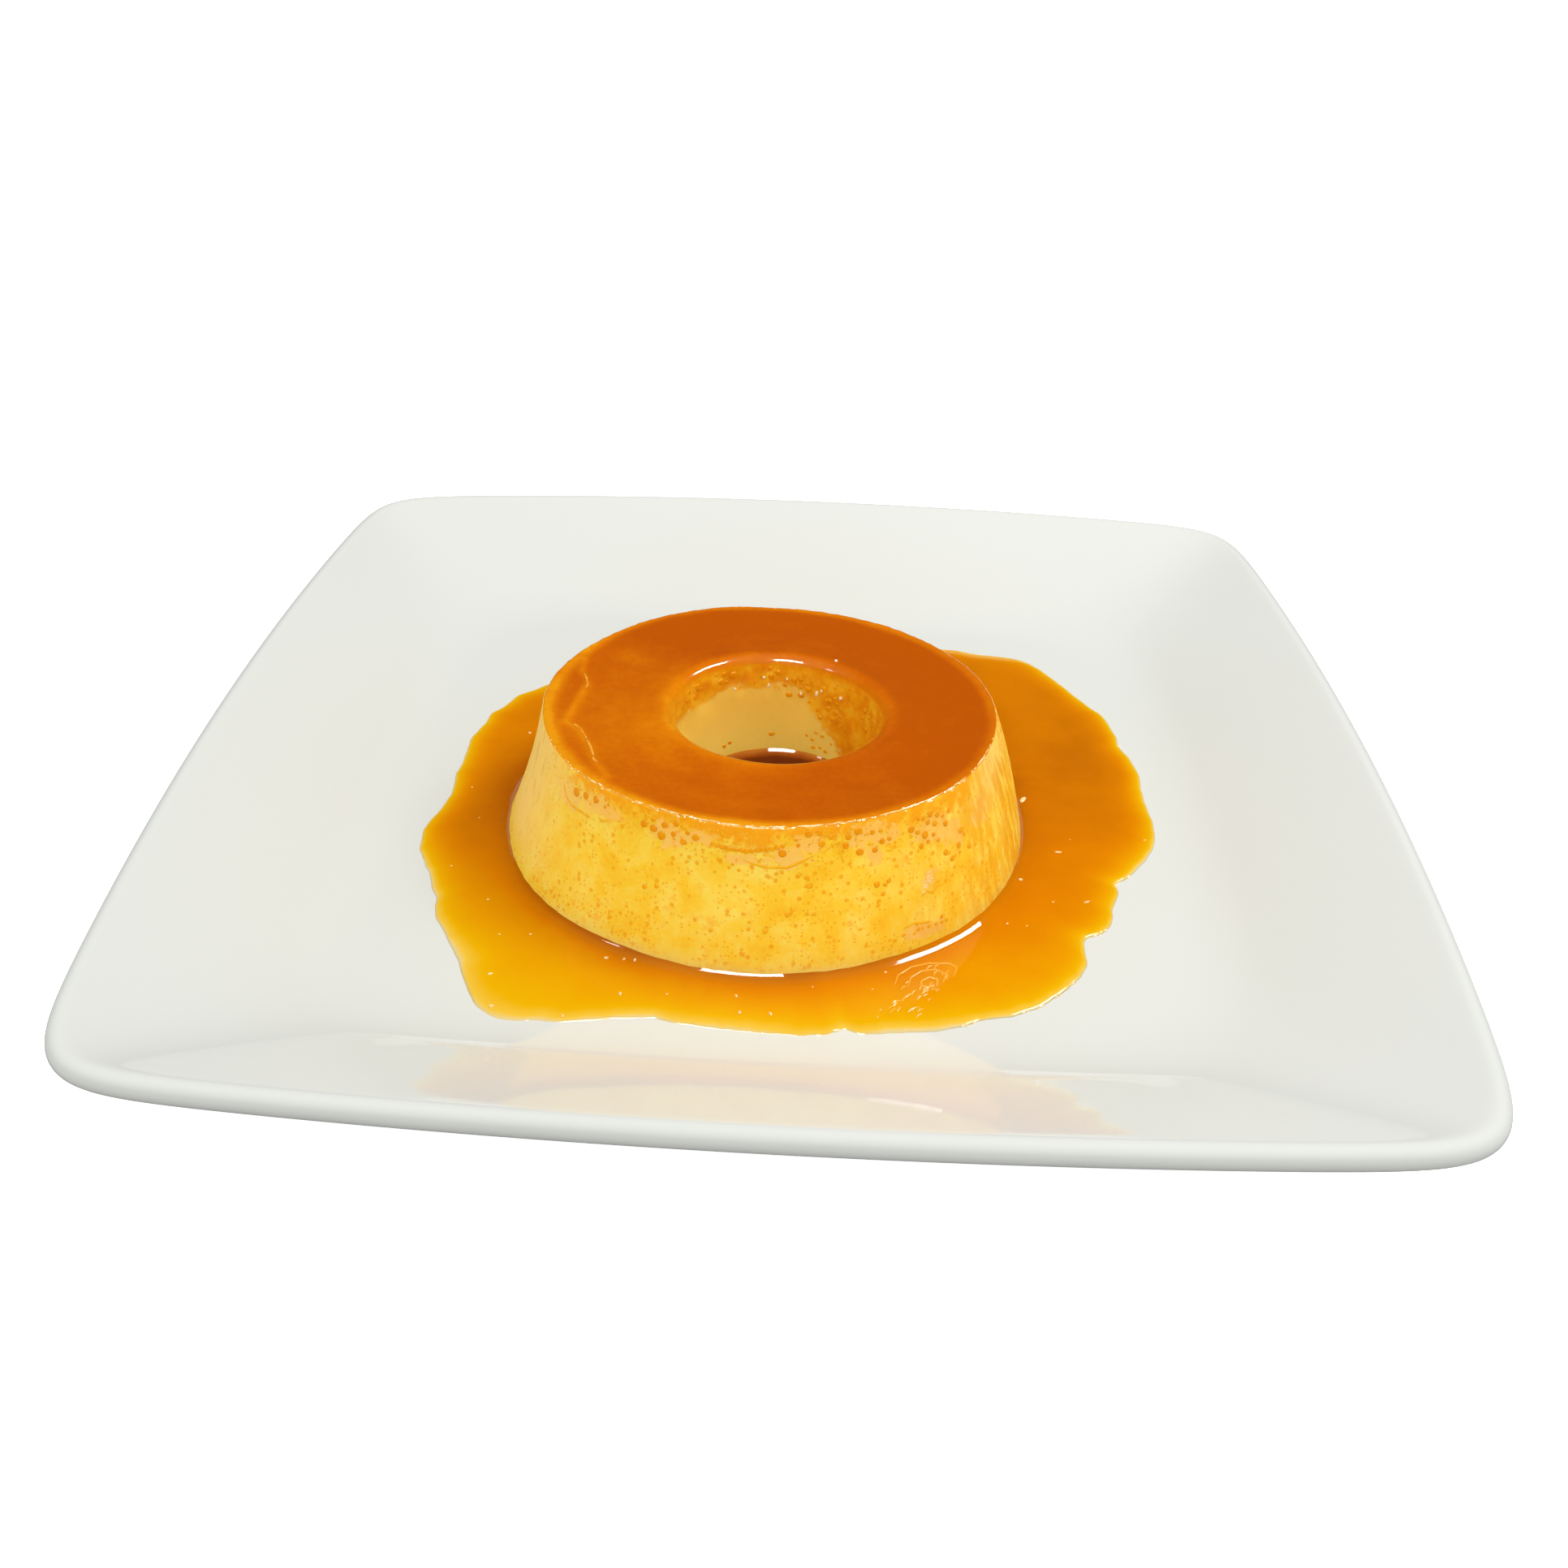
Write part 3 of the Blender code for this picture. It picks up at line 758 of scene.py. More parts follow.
def puddle_reach(bearing):
    """Distance from the pudding's middle to the puddle's edge."""
    reach = PUDDLE_RADIUS
    for centre, extra, spread in PUDDLE_TONGUES:
        reach += extra * bell(turned_from(bearing, centre), spread)
    for centre, extra, spread in EDGE_SCALLOPS:
        reach += extra * bell(turned_from(bearing, centre), spread)
    x, y = cos(bearing), sin(bearing)
    return reach + 0.30 * lumps(x, y, 0.0, 0.07, 41.0) + 0.22 * lumps(x, y, 0.0, 0.03, 43.0)


def contact_radius(bearing):
    """Where the caramel meets the pudding's side."""
    return side_radius(2.6, bearing) + 0.35


def fall(away, start, end):
    """Height above the end of a slope of one that eases off between start and end."""
    share = min(max((away - start) / (end - start), 0.0), 1.0)
    return max(start - away, 0.0) + (end - start) * (0.5 - share + share**3 - 0.5 * share**4)


def puddle_height(from_side, from_edge):
    """Height of the caramel's surface above the plate's floor."""
    bead = 0.22 * (1.0 - exp(-max(from_edge, 0.0) / 0.35)) + 0.78 * (1.0 - exp(-max(from_edge, 0.0) / 9.0))
    climb = MENISCUS_EVEN * fall(from_side, *MENISCUS_EVEN_RUN)
    climb += MENISCUS_STEEP * fall(from_side, *MENISCUS_STEEP_RUN)
    return PUDDLE_DEPTH * bead + climb


def puddle_depth_and_shade(bearing, from_side, from_edge):
    """How deep the caramel looks, from 0 at its edge to 1, with painted shade from the pudding: darker beside it, most
    round its left, where its shadow falls.
    """
    left = bell(turned_from(bearing, 178), 30)
    back_left = bell(turned_from(bearing, 150), 22)
    front_left = bell(turned_from(bearing, 228), 22)
    front = bell(turned_from(bearing, 272), 32)
    back_right = bell(turned_from(bearing, 30), 40)
    front_right = bell(turned_from(bearing, 312), 18)
    right = bell(turned_from(bearing, 350), 30)
    tone = 0.68 + 0.09 * left + 0.03 * back_left - 0.32 * front_left - 0.02 * front + 0.21 * back_right
    tone -= 0.12 * front_right + 0.04 * right
    # Darker beside the pudding: deeper caramel in the meniscus, with painted shade from the pudding, over a wider band
    # on its left where its shadow falls.
    near = 0.22 + 0.03 * left + 0.42 * front_left + 0.14 * front - 0.10 * right
    tone += near * exp(-max(from_side, 0.0) / mix(4.0, 9.0, left))
    slow = 1.0 - exp(-max(from_edge, 0.0) / 2.6)
    slow = mix(slow, 1.0 - exp(-max(from_edge, 0.0) / 7.0), max(front, 0.6 * front_left))
    return tone * slow


def build_puddle():
    stations = 18

    def place(station, bearing):
        edge = puddle_reach(bearing)
        side = contact_radius(bearing)
        if station >= stations - 1:  # the closed underside
            share = station - (stations - 1)
            radius = mix(edge, side - 1.0, share)
            height = 0.02
        elif station <= 1:  # hidden inside the pudding
            radius, height = side - 1.0 + 0.4 * station, mix(0.02, puddle_height(-0.6, edge - side), station)
        else:
            share = (station - 1) / (stations - 2)
            eased = 0.5 * (1.0 - cos(pi * share)) * 0.75 + 0.25 * share
            radius = mix(side - 0.6, edge, eased)
            height = max(puddle_height(radius - side, edge - radius), 0.02)
        x = PUDDING_MIDDLE.x + radius * cos(bearing)
        y = PUDDING_MIDDLE.y + radius * sin(bearing)
        height += 0.04 * lumps(x, y, 0.0, 6.0, 47.0) * smooth_step(0.3, 1.2, height)
        return (x, y, FLOOR + height), (puddle_depth_and_shade(bearing, radius - side, edge - radius),)

    return spun_skin("caramel_puddle_sauce", stations, 150, 3, place, ("depth",))


def build_pool():
    surface = pool_high.z - FLOOR - 0.5
    stations = 8

    def place(station, bearing):
        wall = wall_radius(surface) + 0.35
        if station <= 1:
            radius, height = (wall_radius(0.0) - 0.2) * station, 0.05
        elif station <= 2:
            radius, height = mix(wall_radius(0.0) - 0.2, wall, station - 1.0), mix(0.05, surface + 0.8, station - 1.0)
        else:
            share = (station - 2) / (stations - 2)
            radius = wall * (1.0 - share**2.2)
            height = surface + 1.02 * fall(wall - radius, 0.65, 1.7)
        x = HOLE_MIDDLE.x + radius * cos(bearing)
        y = HOLE_MIDDLE.y + radius * sin(bearing)
        return (x, y, FLOOR + height), (smooth_step(-0.6, 3.6, wall - radius),)

    return spun_skin("hole_caramel", stations, 48, 3, place, ("depth",))


# ---------------------------------------------------------------- small things on and in the surfaces

# Clusters of bubbles that filled with caramel: bearing, height, half-width in degrees, half-height, how many,
# radius and strength of the stain.
SIDE_CLUSTERS = (
    (249, 27.2, 7.0, 1.9, 10, 0.72, 0.9), (281, 28.3, 5.0, 1.6, 6, 0.62, 0.8), (295, 26.6, 6.0, 2.6, 9, 0.70, 0.9),
    (311, 25.4, 8.0, 3.2, 16, 0.68, 0.9), (319, 19.4, 5.0, 3.0, 7, 0.60, 0.7), (298, 17.4, 2.5, 2.4, 4, 0.62, 0.6),
    (307, 6.2, 6.0, 1.3, 10, 0.42, 0.5), (261, 22.6, 8.0, 1.5, 8, 0.40, 0.4), (280, 21.0, 2.0, 2.0, 3, 0.62, 0.5),
    (270, 12.5, 18.0, 4.0, 6, 0.50, 0.3), (246, 16.0, 2.0, 1.5, 2, 0.60, 0.6), (232, 27.6, 3.0, 1.0, 3, 0.50, 0.5),
    (12, 26.0, 18.0, 3.2, 14, 0.62, 0.8), (62, 26.5, 22.0, 2.6, 14, 0.60, 0.8), (118, 26.0, 22.0, 3.0, 16, 0.62, 0.8),
    (166, 25.5, 14.0, 3.0, 8, 0.55, 0.6),
)
# Rows of bubbles: first and last bearing, first and last height, sag, how many, radius and strength.
SIDE_ROWS = ((221, 228, 26.6, 27.4, 0.0, 3, 0.92, 1.0), (259.5, 275.0, 26.3, 27.0, 0.7, 15, 0.52, 0.6), (275, 277, 25.6, 25.6, 0.0, 1, 0.95, 1.0))
# The same in the hole's wall, with bearings about the hole's middle.
HOLE_CLUSTERS = (
    (123, 26.4, 6.0, 1.8, 5, 0.80, 0.9), (96, 26.6, 6.0, 1.6, 5, 0.70, 0.9), (80, 23.4, 9.0, 2.8, 7, 0.68, 0.8),
    (151, 26.6, 8.0, 1.8, 5, 0.85, 0.9), (60, 20.5, 12.0, 4.5, 10, 0.62, 0.6), (60, 12.0, 10.0, 3.0, 7, 0.50, 0.3),
    (127, 10.5, 5.0, 1.5, 2, 0.55, 0.8), (94, 11.0, 3.0, 1.0, 1, 0.80, 0.2), (215, 24.5, 35.0, 2.5, 14, 0.75, 0.8),
    (300, 23.5, 40.0, 3.0, 18, 0.75, 0.8), (10, 23.0, 25.0, 3.5, 10, 0.65, 0.7),
)
# Wet bumps on the hole's wall that catch the light: bearing, height, width, length.
HOLE_BUMPS = (
    (67, 23.0, 0.9, 1.7), (64, 24.0, 0.6, 0.8), (77, 22.2, 0.6, 1.0), (97, 23.6, 0.6, 1.2), (100, 25.6, 0.7, 0.7),
    (118, 23.4, 0.6, 0.8), (50, 24.0, 1.0, 1.0), (86, 25.4, 0.5, 0.7),
)
# Thin runs of caramel down the side, each a line of bearings and heights.
SIDE_RUNS = (
    ((215.5, 26.4), (217.0, 24.3), (220.0, 23.3), (227.5, 23.4)),
    ((229.5, 24.3), (231.0, 24.0), (233.0, 24.7)),
    ((266.5, 24.0), (271.0, 23.0), (276.0, 22.9), (282.5, 25.2)),
    ((306.5, 12.6), (308.0, 13.4), (309.5, 12.7), (311.0, 13.6), (313.0, 13.2)),
    ((301.5, 7.4), (304.0, 7.9), (308.5, 6.9)),
    ((242.0, 30.0), (243.0, 28.8), (245.5, 28.2)),
    ((288.0, 29.5), (288.8, 27.6), (287.9, 25.4), (288.5, 23.0)),
)
# Flecks in the caramel: bearing, distance from the pudding's middle, length, width.
PUDDLE_CRUMBS = (
    (11, 60.6, 2.9, 1.3), (340, 59.6, 1.0, 0.7), (241, 62.0, 1.0, 0.6), (248, 69.5, 1.1, 0.6), (229, 80.0, 1.0, 0.7),
    (234, 86.0, 1.2, 0.6), (243, 80.0, 0.8, 0.5), (268, 68.0, 1.0, 0.6), (267, 63.5, 0.8, 0.5), (273, 68.0, 1.2, 0.5),
    (246, 59.6, 1.0, 0.6), (244, 60.4, 0.7, 0.5), (352, 66.0, 1.8, 0.5), (339, 74.5, 1.7, 0.5), (60, 72.0, 1.3, 0.7),
    (104, 70.0, 1.0, 0.6), (152, 68.0, 1.0, 0.6),
)
# Drops standing at the puddle's edge: bearing, length.
EDGE_DROPS = (
    (349, 1.1), (346, 1.5), (334, 0.9), (332, 1.3), (320, 1.0), (316, 1.1), (313, 1.4), (310, 1.0), (301, 0.9),
    (303, 1.0), (283, 1.2), (25, 0.9), (70, 1.0),
)
# The larger wrinkles in the caramel's skin, each a line of bearings and distances from the pudding's middle.
RIPPLE_ARCS = (
    ((295.8, 64.0), (297.5, 61.8), (301, 60.7), (304.5, 61.4), (307.8, 63.6), (308.2, 65.4), (306, 67.4)),
    ((297.6, 65.6), (299.4, 63.4), (302, 62.7), (304.6, 63.6), (305.4, 65.8), (303.6, 67.6)),
    ((299.4, 67.0), (300.6, 65.2), (302.4, 64.9), (303.3, 66.2), (302.2, 67.8)),
)
# Raised folds of skin on the soaked top: width, height, and a line of bearings and distances from the pudding's middle.
TOP_FOLDS = (
    (0.9, 0.42, ((195.5, 44.0), (200, 42.9), (205, 42.7))),
    (0.8, 0.46, ((205.3, 42.8), (211, 43.3), (215, 44.1))),
    (0.5, 0.40, ((215.6, 44.2), (217, 45.0), (219, 44.9))),
    (0.7, 0.36, ((166.0, 44.2), (169.0, 42.9), (172, 41.9), (175, 42.0))),
)


def side_frame(bearing_degrees, height):
    """Place, outward direction and upward direction on the pudding's side."""
    bearing = radians(bearing_degrees)
    tuck = PUDDING_HEIGHT - RIM_ROUND * (1.0 - sin(SIDE_LEAN))
    station = RIM_START * min(height, tuck) / tuck
    spot, out, _, height = skin_spot(station, bearing)
    spot = spot + out * skin_relief(station, bearing, spot, height)
    level = Vector((-sin(bearing), cos(bearing), 0.0))
    return spot, out, out.cross(level)


def hole_frame(bearing_degrees, height):
    """The same on the hole's wall."""
    bearing = radians(bearing_degrees)
    share = 1.0 - height / (PUDDING_HEIGHT - HOLE_RIM_ROUND)
    station = mix(WALL_START, UNDER_START, share)
    spot, out, _, height = skin_spot(station, bearing)
    spot = spot + out * skin_relief(station, bearing, spot, height)
    return spot, out, Vector((0.0, 0.0, 1.0))


def puddle_frame(bearing_degrees, distance):
    """The same on the puddle's surface, with upwards pointing away from the pudding."""
    bearing = radians(bearing_degrees)
    height = puddle_height(distance - contact_radius(bearing), puddle_reach(bearing) - distance)
    along = Vector((cos(bearing), sin(bearing), 0.0))
    spot = Vector((PUDDING_MIDDLE.x, PUDDING_MIDDLE.y, FLOOR + height)) + along * distance
    return spot, Vector((0.0, 0.0, 1.0)), along


def top_frame(bearing_degrees, distance):
    """The same on the soaked top, at a distance from the pudding's middle."""
    bearing = radians(bearing_degrees)
    share = (TOP_RADIUS - distance) / (TOP_RADIUS - HOLE_TOP_RADIUS - HOLE_RIM_ROUND)
    station = mix(TOP_START, HOLE_RIM_START, share)
    spot, out, _, height = skin_spot(station, bearing)
    spot = spot + out * skin_relief(station, bearing, spot, height)
    return spot, out, Vector((cos(bearing), sin(bearing), 0.0))


def rim_frame(bearing_degrees, station):
    """The same on the rounded rim of the top, at a station of the pudding's skin."""
    bearing = radians(bearing_degrees)
    spot, out, _, height = skin_spot(station, bearing)
    spot = spot + out * skin_relief(station, bearing, spot, height)
    return spot, out, out.cross(Vector((-sin(bearing), cos(bearing), 0.0)))


def blob(place, wide, tall, proud, turn=0.0, rough=0.0, chance=None):
    """A small rounded lump half sunk in a surface: wide along it, tall up it, and turned on it by some degrees."""
    spot, out, up = place
    level = up.cross(out).normalized()
    up = out.cross(level).normalized()
    side = level * cos(radians(turn)) + up * sin(radians(turn))
    up = up * cos(radians(turn)) - level * sin(radians(turn))
    stretch = Matrix((side * wide, up * tall, out * proud)).transposed().to_4x4()
    lump = bmesh.new()
    bmesh.ops.create_uvsphere(lump, u_segments=9, v_segments=5, radius=1.0)
    bmesh.ops.transform(lump, matrix=Matrix.Scale(MM, 4) @ Matrix.Translation(spot) @ stretch, verts=lump.verts[:])
    if rough:
        for point in lump.verts:
            point.co += Vector([chance.uniform(-rough, rough) * MM for _ in range(3)])
    return lump


def bead(places, width, height):
    """A thin bead, half sunk, drawn along a line of places on a surface and fading out at both ends."""
    last = len(places) - 1
    line = bmesh.new()
    bmesh.ops.create_cone(line, cap_ends=True, segments=8, radius1=1.0, radius2=1.0, depth=1.0)
    lengthwise = [edge for edge in line.edges if abs(edge.verts[0].co.z - edge.verts[1].co.z) > 0.5]
    bmesh.ops.subdivide_edges(line, edges=lengthwise, cuts=last - 1)
    for point in line.verts:
        share = point.co.z + 0.5
        number = int(round(share * last))
        spot, out, _ = places[number]
        along = places[min(number + 1, last)][0] - places[max(number - 1, 0)][0]
        across = out.cross(along).normalized()
        full = 0.15 + 0.85 * abs(sin(pi * share)) ** 0.5
        point.co = (spot + across * (0.5 * width * full * point.co.x) + out * (height * full * point.co.y)) * MM
    return line


def line_between(frame_at, corners, step=0.7):
    """Places along a line of corners on a surface, about step millimetres apart."""
    places = []
    for start, end in zip(corners, corners[1:]):
        count = max(int((frame_at(*end)[0] - frame_at(*start)[0]).length / step), 2)
        places += [frame_at(mix(start[0], end[0], n / count), mix(start[1], end[1], n / count)) for n in range(count)]
    return places + [frame_at(*corners[-1])]


def ring_round(frame_at, middle, radius):
    """Places round a small ring on the pudding's side."""
    degrees_across = degrees(radius / side_radius(middle[1], radians(middle[0])))
    turns = [2.0 * pi * number / 10 for number in range(11)]
    return [frame_at(middle[0] + degrees_across * cos(turn), middle[1] + radius * sin(turn)) for turn in turns]


def joined_piece(name, parts, mark):
    """One piece made of many small closed shapes, each with its own value of a mark."""
    body = bmesh.new()
    body.verts.layers.float.new(mark)
    scrap = bpy.data.meshes.new("scrap")
    for part, value in parts:
        layer = part.verts.layers.float.new(mark)
        for point in part.verts:
            point[layer] = value
        bmesh.ops.recalc_face_normals(part, faces=part.faces[:])
        part.to_mesh(scrap)
        part.free()
        body.from_mesh(scrap)
    bpy.data.meshes.remove(scrap)
    return finished_piece(name, body)


def scattered(chance, frame_at, clusters, flatness):
    """Bubbles in clusters, none of them touching another."""
    parts = []
    taken = []
    for bearing, height, wide, tall, count, radius, strength in clusters:
        for _ in range(count * 6):
            if count == 0:
                break
            turn, reach = chance.uniform(0.0, 2.0 * pi), chance.random() ** 0.5
            place = frame_at(bearing + wide * reach * cos(turn), min(height + tall * reach * sin(turn), 29.2))
            size = radius * chance.uniform(0.7, 1.3)
            if all((place[0] - other).length > 1.15 * (size + its_size) for other, its_size in taken):
                taken.append((place[0], size))
                tall_share = chance.uniform(0.85, 1.15)
                parts.append((blob(place, size, size * tall_share, flatness * size), strength * chance.uniform(0.8, 1.1)))
                count -= 1
    return parts


def build_side_bubbles():
    chance = random.Random(7)
    parts = scattered(chance, side_frame, SIDE_CLUSTERS, 0.14)
    for first, last, low, high, sag, count, radius, strength in SIDE_ROWS:
        for number in range(count):
            share = number / max(count - 1, 1)
            size = radius * chance.uniform(0.85, 1.15)
            height = mix(low, high, share) - sag * sin(pi * share) + chance.uniform(-0.1, 0.1)
            parts.append((blob(side_frame(mix(first, last, share), height), size, size, 0.14 * size), strength))
    crowded = ((222, 12), (249, 9), (268, 10), (294, 7), (313, 9), (30, 16), (75, 12), (120, 20), (165, 14))
    for _ in range(640):  # pinpricks that crowd in the band under the rim
        centre, spread = chance.choice(crowded)
        bearing = centre + chance.gauss(0.0, spread)
        height = 29.4 - abs(chance.gauss(0.0, 2.8))
        size = chance.uniform(0.11, 0.24)
        if height > 12.0:
            parts.append((blob(side_frame(bearing, height), size, size, 0.07), chance.uniform(0.15, 0.65)))
    for _ in range(90):  # and a few all the way down
        size = chance.uniform(0.10, 0.21)
        place = side_frame(chance.uniform(0.0, 360.0), 2.0 + 24.0 * chance.random() ** 1.6)
        parts.append((blob(place, size, size, 0.06), chance.uniform(0.0, 0.35)))
    return joined_piece("caramel_bubbles_in_side", parts, "strength")


def build_hole_bubbles():
    chance = random.Random(11)
    parts = scattered(chance, hole_frame, HOLE_CLUSTERS, 0.22)
    for _ in range(120):
        size = chance.uniform(0.18, 0.45)
        height = chance.choice((26.5, 24.0, 18.0)) + chance.gauss(0.0, 2.2)
        bearing = chance.uniform(-120.0, 240.0)
        if 8.5 < height < 28.5 and (height > 22.5 or bearing < 78.0):
            place = hole_frame(bearing, height)
            parts.append((blob(place, size, size * 1.2, 0.1), chance.uniform(0.4, 0.9)))
    return joined_piece("caramel_bubbles_in_hole", parts, "strength")


def build_runs():
    parts = [(bead(line_between(side_frame, corners), 0.6, 0.06), 0.25) for corners in SIDE_RUNS]
    return joined_piece("caramel_runs_on_side", parts, "strength")


def build_folds():
    parts = [(bead(line_between(top_frame, corners), width, height), 0.5) for width, height, corners in TOP_FOLDS]
    return joined_piece("folded_skin_on_top", parts, "tone")


def build_painted_rim_highlight():
    """A painted highlight line: short bright threads and tags along the front of the rim, shaped as the frayed edge of
    the caramel skin.
    """
    chance = random.Random(43)
    parts = []
    bearing = 214.0
    while bearing < 344.0:
        length = chance.uniform(1.2, 7.0)
        middle = TOP_START - 0.7 + chance.uniform(-0.12, 0.12)
        corners = [(bearing + share * length, middle + chance.uniform(-0.14, 0.14)) for share in (0.0, 0.35, 0.7, 1.0)]
        thread = bead(line_between(rim_frame, corners, 0.5), chance.uniform(0.20, 0.40), chance.uniform(0.10, 0.20))
        parts.append((thread, chance.uniform(0.1, 0.9)))
        bearing += length + chance.choice((0.1, 0.5, 1.2, 2.6))
    for _ in range(90):
        place = rim_frame(chance.uniform(200.0, 350.0), TOP_START - chance.uniform(0.6, 1.8))
        size = chance.uniform(0.12, 0.26)
        parts.append((blob(place, size * chance.uniform(0.8, 2.0), size, 0.12), chance.uniform(0.0, 1.0)))
    return joined_piece("painted_highlight_threads_on_rim", parts, "tone")


def build_crumbs():
    chance = random.Random(23)
    parts = []
    for bearing, distance, length, width in PUDDLE_CRUMBS:
        place = puddle_frame(bearing, distance)
        parts.append(blob(place, 0.5 * width, 0.5 * length, 0.3, chance.uniform(-60, 60), 0.07, chance))
    for _ in range(26):
        bearing = chance.uniform(0.0, 360.0)
        near, far = side_radius(0.0, radians(bearing)) + 2.0, puddle_reach(radians(bearing)) - 2.0
        place = puddle_frame(bearing, mix(near, far, chance.random()))
        size = chance.uniform(0.14, 0.28)
        parts.append(blob(place, size, size, 0.14, 0.0, 0.05, chance))
    for _ in range(8):  # a patch of pale, crusted bubble rims low at the front right
        middle = (308.6 + chance.gauss(0.0, 1.1), 15.4 + chance.gauss(0.0, 1.2))
        parts.append(bead(ring_round(side_frame, middle, chance.uniform(0.4, 0.62)), 0.2, 0.06))
    return joined_piece("custard_crumbs", [(part, 0.5) for part in parts], "tone")


def build_ripples():
    """Short wrinkles in the caramel's skin where the pudding was last nudged."""
    chance = random.Random(37)
    parts = []
    for corners in RIPPLE_ARCS:
        parts.append((bead(line_between(puddle_frame, corners, 0.6), chance.uniform(0.3, 0.42), 0.08), 0.5))
    for _ in range(38):
        share = chance.random()
        bearing = mix(293.0, 305.5, share) + chance.gauss(0.0, 0.9)
        distance = mix(71.0, 65.0, share) + chance.gauss(0.0, 1.7)
        half, lean = chance.uniform(0.4, 1.0), chance.uniform(-0.9, 0.1)
        corners = [(bearing + n * half, distance + lean * n * half + 0.5 * half * n * n) for n in (-1, 0, 1)]
        parts.append((bead(line_between(puddle_frame, corners, 0.5), chance.uniform(0.2, 0.4), 0.08), 0.5))
    return joined_piece("caramel_skin_ripples", parts, "tone")


def build_drops():
    chance = random.Random(31)
    parts = []
    for bearing, length in EDGE_DROPS:
        place = puddle_frame(bearing, puddle_reach(radians(bearing)) - 0.1)
        parts.append(blob(place, 0.5 * length, 0.35, 0.34, chance.uniform(-30, 30), 0.05, chance))
        beside = bearing + chance.uniform(-1.2, 1.2)
        place = puddle_frame(beside, puddle_reach(radians(beside)) + 0.2)
        parts.append(blob(place, 0.3, 0.22, 0.24, 0.0, 0.03, chance))
    for bearing, height, width, length in HOLE_BUMPS:
        parts.append(blob(hole_frame(bearing, height), 0.5 * width, 0.5 * length, 0.45, 0.0, 0.04, chance))
    parts.append(blob(top_frame(61, 26.2), 0.42, 0.42, 0.34))  # one that stayed on the top, beside the hole, its pale colour a painted glint
    return joined_piece("drops_with_painted_glints", [(part, 0.5) for part in parts], "tone")


# ---------------------------------------------------------------- stage


def build_floor():
    body = bmesh.new()
    bmesh.ops.create_circle(body, cap_ends=True, segments=96, radius=6.0)
    floor = finished_piece("studio_floor", body)
    paper = Finish("white_paper", Roughness=0.9, Specular_IOR_Level=0.1)
    seen = paper.add("LightPath").outputs["Is Camera Ray"]  # looks white, without flooding the plate from below
    tint = paper.blend(paper.clouds(3.0, 2.0), colour(248, 248, 248), colour(251, 251, 251))
    tint = paper.blend(seen, colour(148, 148, 148), tint)
    paper.shader.inputs["Emission Color"].default_value = (1.0, 1.0, 1.0, 1.0)
    paper.feed(paper.shader, "Emission Strength", paper.sum(seen, 0.75, "MULTIPLY"))
    floor.data.materials.append(paper.paint(tint))


TABLE = (0.0, 0.0, 0.03)


def soft_light(name, place, aim, along, width, depth, radiance, kept_from):
    """A flat studio lamp facing a point, its width laid along a direction, in metres. kept_from names a kind of
    light it doesn't add: softboxes leave no glints, and glint strips don't brighten the plate."""
    lamp = bpy.data.lights.new(name, "AREA")
    lamp.shape = "RECTANGLE"
    lamp.size = width
    lamp.size_y = depth
    lamp.energy = radiance * pi * width * depth
    back = (Vector(place) - Vector(aim)).normalized()
    up = back.cross(Vector(along)).normalized()
    held = bpy.data.objects.new(name, lamp)
    held.matrix_world = Matrix.Translation(place) @ Matrix((up.cross(back), up, back)).transposed().to_4x4()
    setattr(held, kept_from, False)
    bpy.context.scene.collection.objects.link(held)
    return held


def keep_off(lamp, piece):
    """Makes a lamp leave a piece out."""
    left_out = bpy.data.collections.new(lamp.name + "_leaves_out")
    left_out.objects.link(piece)
    left_out.collection_objects[0].light_linking.link_state = "EXCLUDE"
    lamp.light_linking.receiver_collection = left_out


def build_sky():
    """Soft white light, strongest overhead and in front. What it lends to gloss is dark low at the back, so that
    the caramel isn't washed out, and the picture's backdrop is plain white."""
    world = bpy.data.worlds.new("studio")
    world.use_nodes = True
    tree = world.node_tree
    sky = tree.nodes["Background"]
    sky.inputs["Color"].default_value = (1.0, 1.0, 1.0, 1.0)
    facing = tree.nodes.new("ShaderNodeVectorMath")
    facing.operation = "DOT_PRODUCT"
    facing.inputs[1].default_value = (-0.05, -0.35, 0.93)
    spot = tree.nodes.new("ShaderNodeTexCoord")
    tree.links.new(spot.outputs["Generated"], facing.inputs[0])
    seen = tree.nodes.new("ShaderNodeLightPath")

    def rising(low, high, faint, bright):
        made = tree.nodes.new("ShaderNodeMapRange")
        made.interpolation_type = "SMOOTHSTEP"
        for socket, value in (("From Min", low), ("From Max", high), ("To Min", faint), ("To Max", bright)):
            made.inputs[socket].default_value = value
        tree.links.new(facing.outputs["Value"], made.inputs["Value"])
        return made.outputs["Result"]

    strength = rising(-0.4, 0.95, 0.34, 1.10)
    for ray, brightness in (("Is Glossy Ray", rising(0.5, 0.95, 0.02, 0.5)), ("Is Camera Ray", 1.0)):
        lit = tree.nodes.new("ShaderNodeMix")
        lit.data_type = "FLOAT"
        tree.links.new(seen.outputs[ray], lit.inputs[0])
        tree.links.new(strength, lit.inputs[2])
        if isinstance(brightness, float):
            lit.inputs[3].default_value = brightness
        else:
            tree.links.new(brightness, lit.inputs[3])
        strength = lit.outputs[0]
    tree.links.new(strength, sky.inputs["Strength"])
    bpy.context.scene.world = world


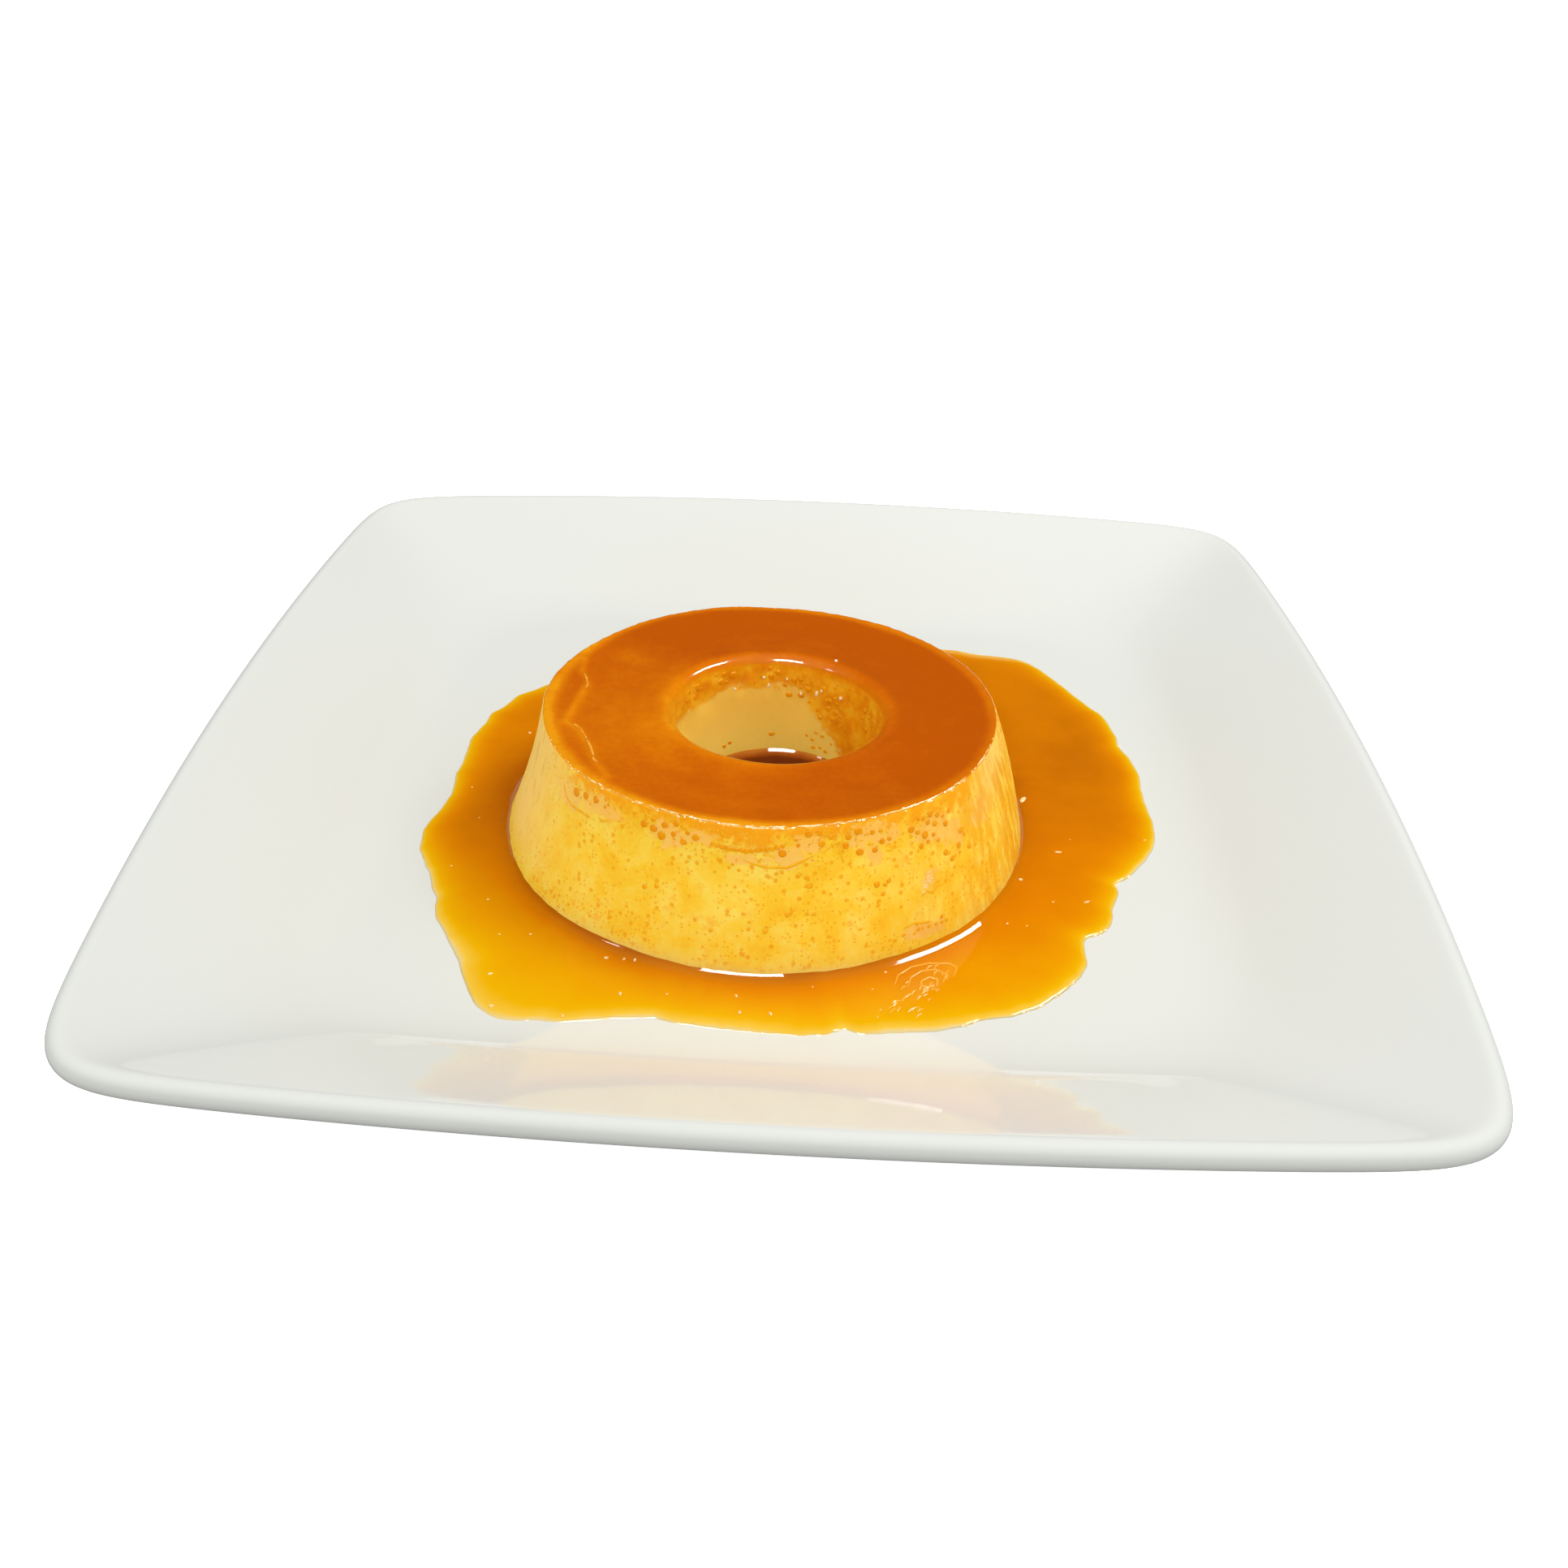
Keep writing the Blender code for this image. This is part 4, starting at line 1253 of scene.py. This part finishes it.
def build_camera():
    lens = bpy.data.cameras.new("table_camera")
    lens.sensor_width = 36.0
    lens.lens = 36.15
    lens.shift_x = 0.0312
    lens.shift_y = 0.0123
    lens.clip_start = 0.01
    camera = bpy.data.objects.new("table_camera", lens)
    camera.location = (0.0032, -0.3134, 0.2084)
    camera.rotation_euler = (radians(56.579), radians(-0.991), radians(3.349))
    bpy.context.scene.collection.objects.link(camera)
    bpy.context.scene.camera = camera


# ---------------------------------------------------------------- everything together

build_camera()
build_sky()
build_floor()
soft_light("right_softbox", (0.58, 0.22, 0.85), TABLE, (0.45, -0.6, -0.1), 0.6, 0.3, 6.0, "visible_glossy")
glints = (
    soft_light("right_glint", (0.56, 0.16, 0.76), TABLE, (0.32, 0.76, -0.56), 0.42, 0.14, 95.0, "visible_diffuse"),
    soft_light("front_glint", (-0.08, -0.53, 0.82), TABLE, (1.0, -0.08, 0.05), 0.42, 0.19, 100.0, "visible_diffuse"),
    soft_light("left_glint", (-0.62, -0.28, 0.72), TABLE, (0.4, -0.9, 0.0), 0.12, 0.08, 35.0, "visible_diffuse"),
)
front_softbox = soft_light("front_softbox", (0.0, -0.7, 0.73), TABLE, (1.0, 0.0, 0.0), 0.5, 0.4, 1.8, "visible_glossy")
view = bpy.context.scene.view_settings
view.view_transform = "Standard"

plate = build_plate()
dress(plate, porcelain_finish(), "porcelain", "plate")
for lamp in (*glints, front_softbox):  # the glaze shows no lamps, and the food is a little brighter than the plate
    keep_off(lamp, plate)
pudding = build_pudding()
dress(pudding, custard_finish(), "custard", "pudding")
puddle = build_puddle()
dress(puddle, amber_finish(), "caramel_sauce", "caramel_puddle")
pool = build_pool()
dress(pool, dark_caramel_finish(), "dark_caramel", "caramel_pool")

bubble_stain = stain_finish()
dress(build_side_bubbles(), bubble_stain, "caramel_sauce")
dress(build_hole_bubbles(), bubble_stain, "caramel_sauce")
dress(build_runs(), bubble_stain, "caramel_sauce")
dress(build_folds(), fold_highlight_finish(), "caramel_sauce")
dress(build_painted_rim_highlight(), rim_highlight_finish(), "caramel_sauce")
dress(build_crumbs(), crumb_finish(), "custard")
dress(build_ripples(), ripple_reflection_finish(), "caramel_sauce")
dress(build_drops(), drop_glint_finish(), "caramel_sauce")
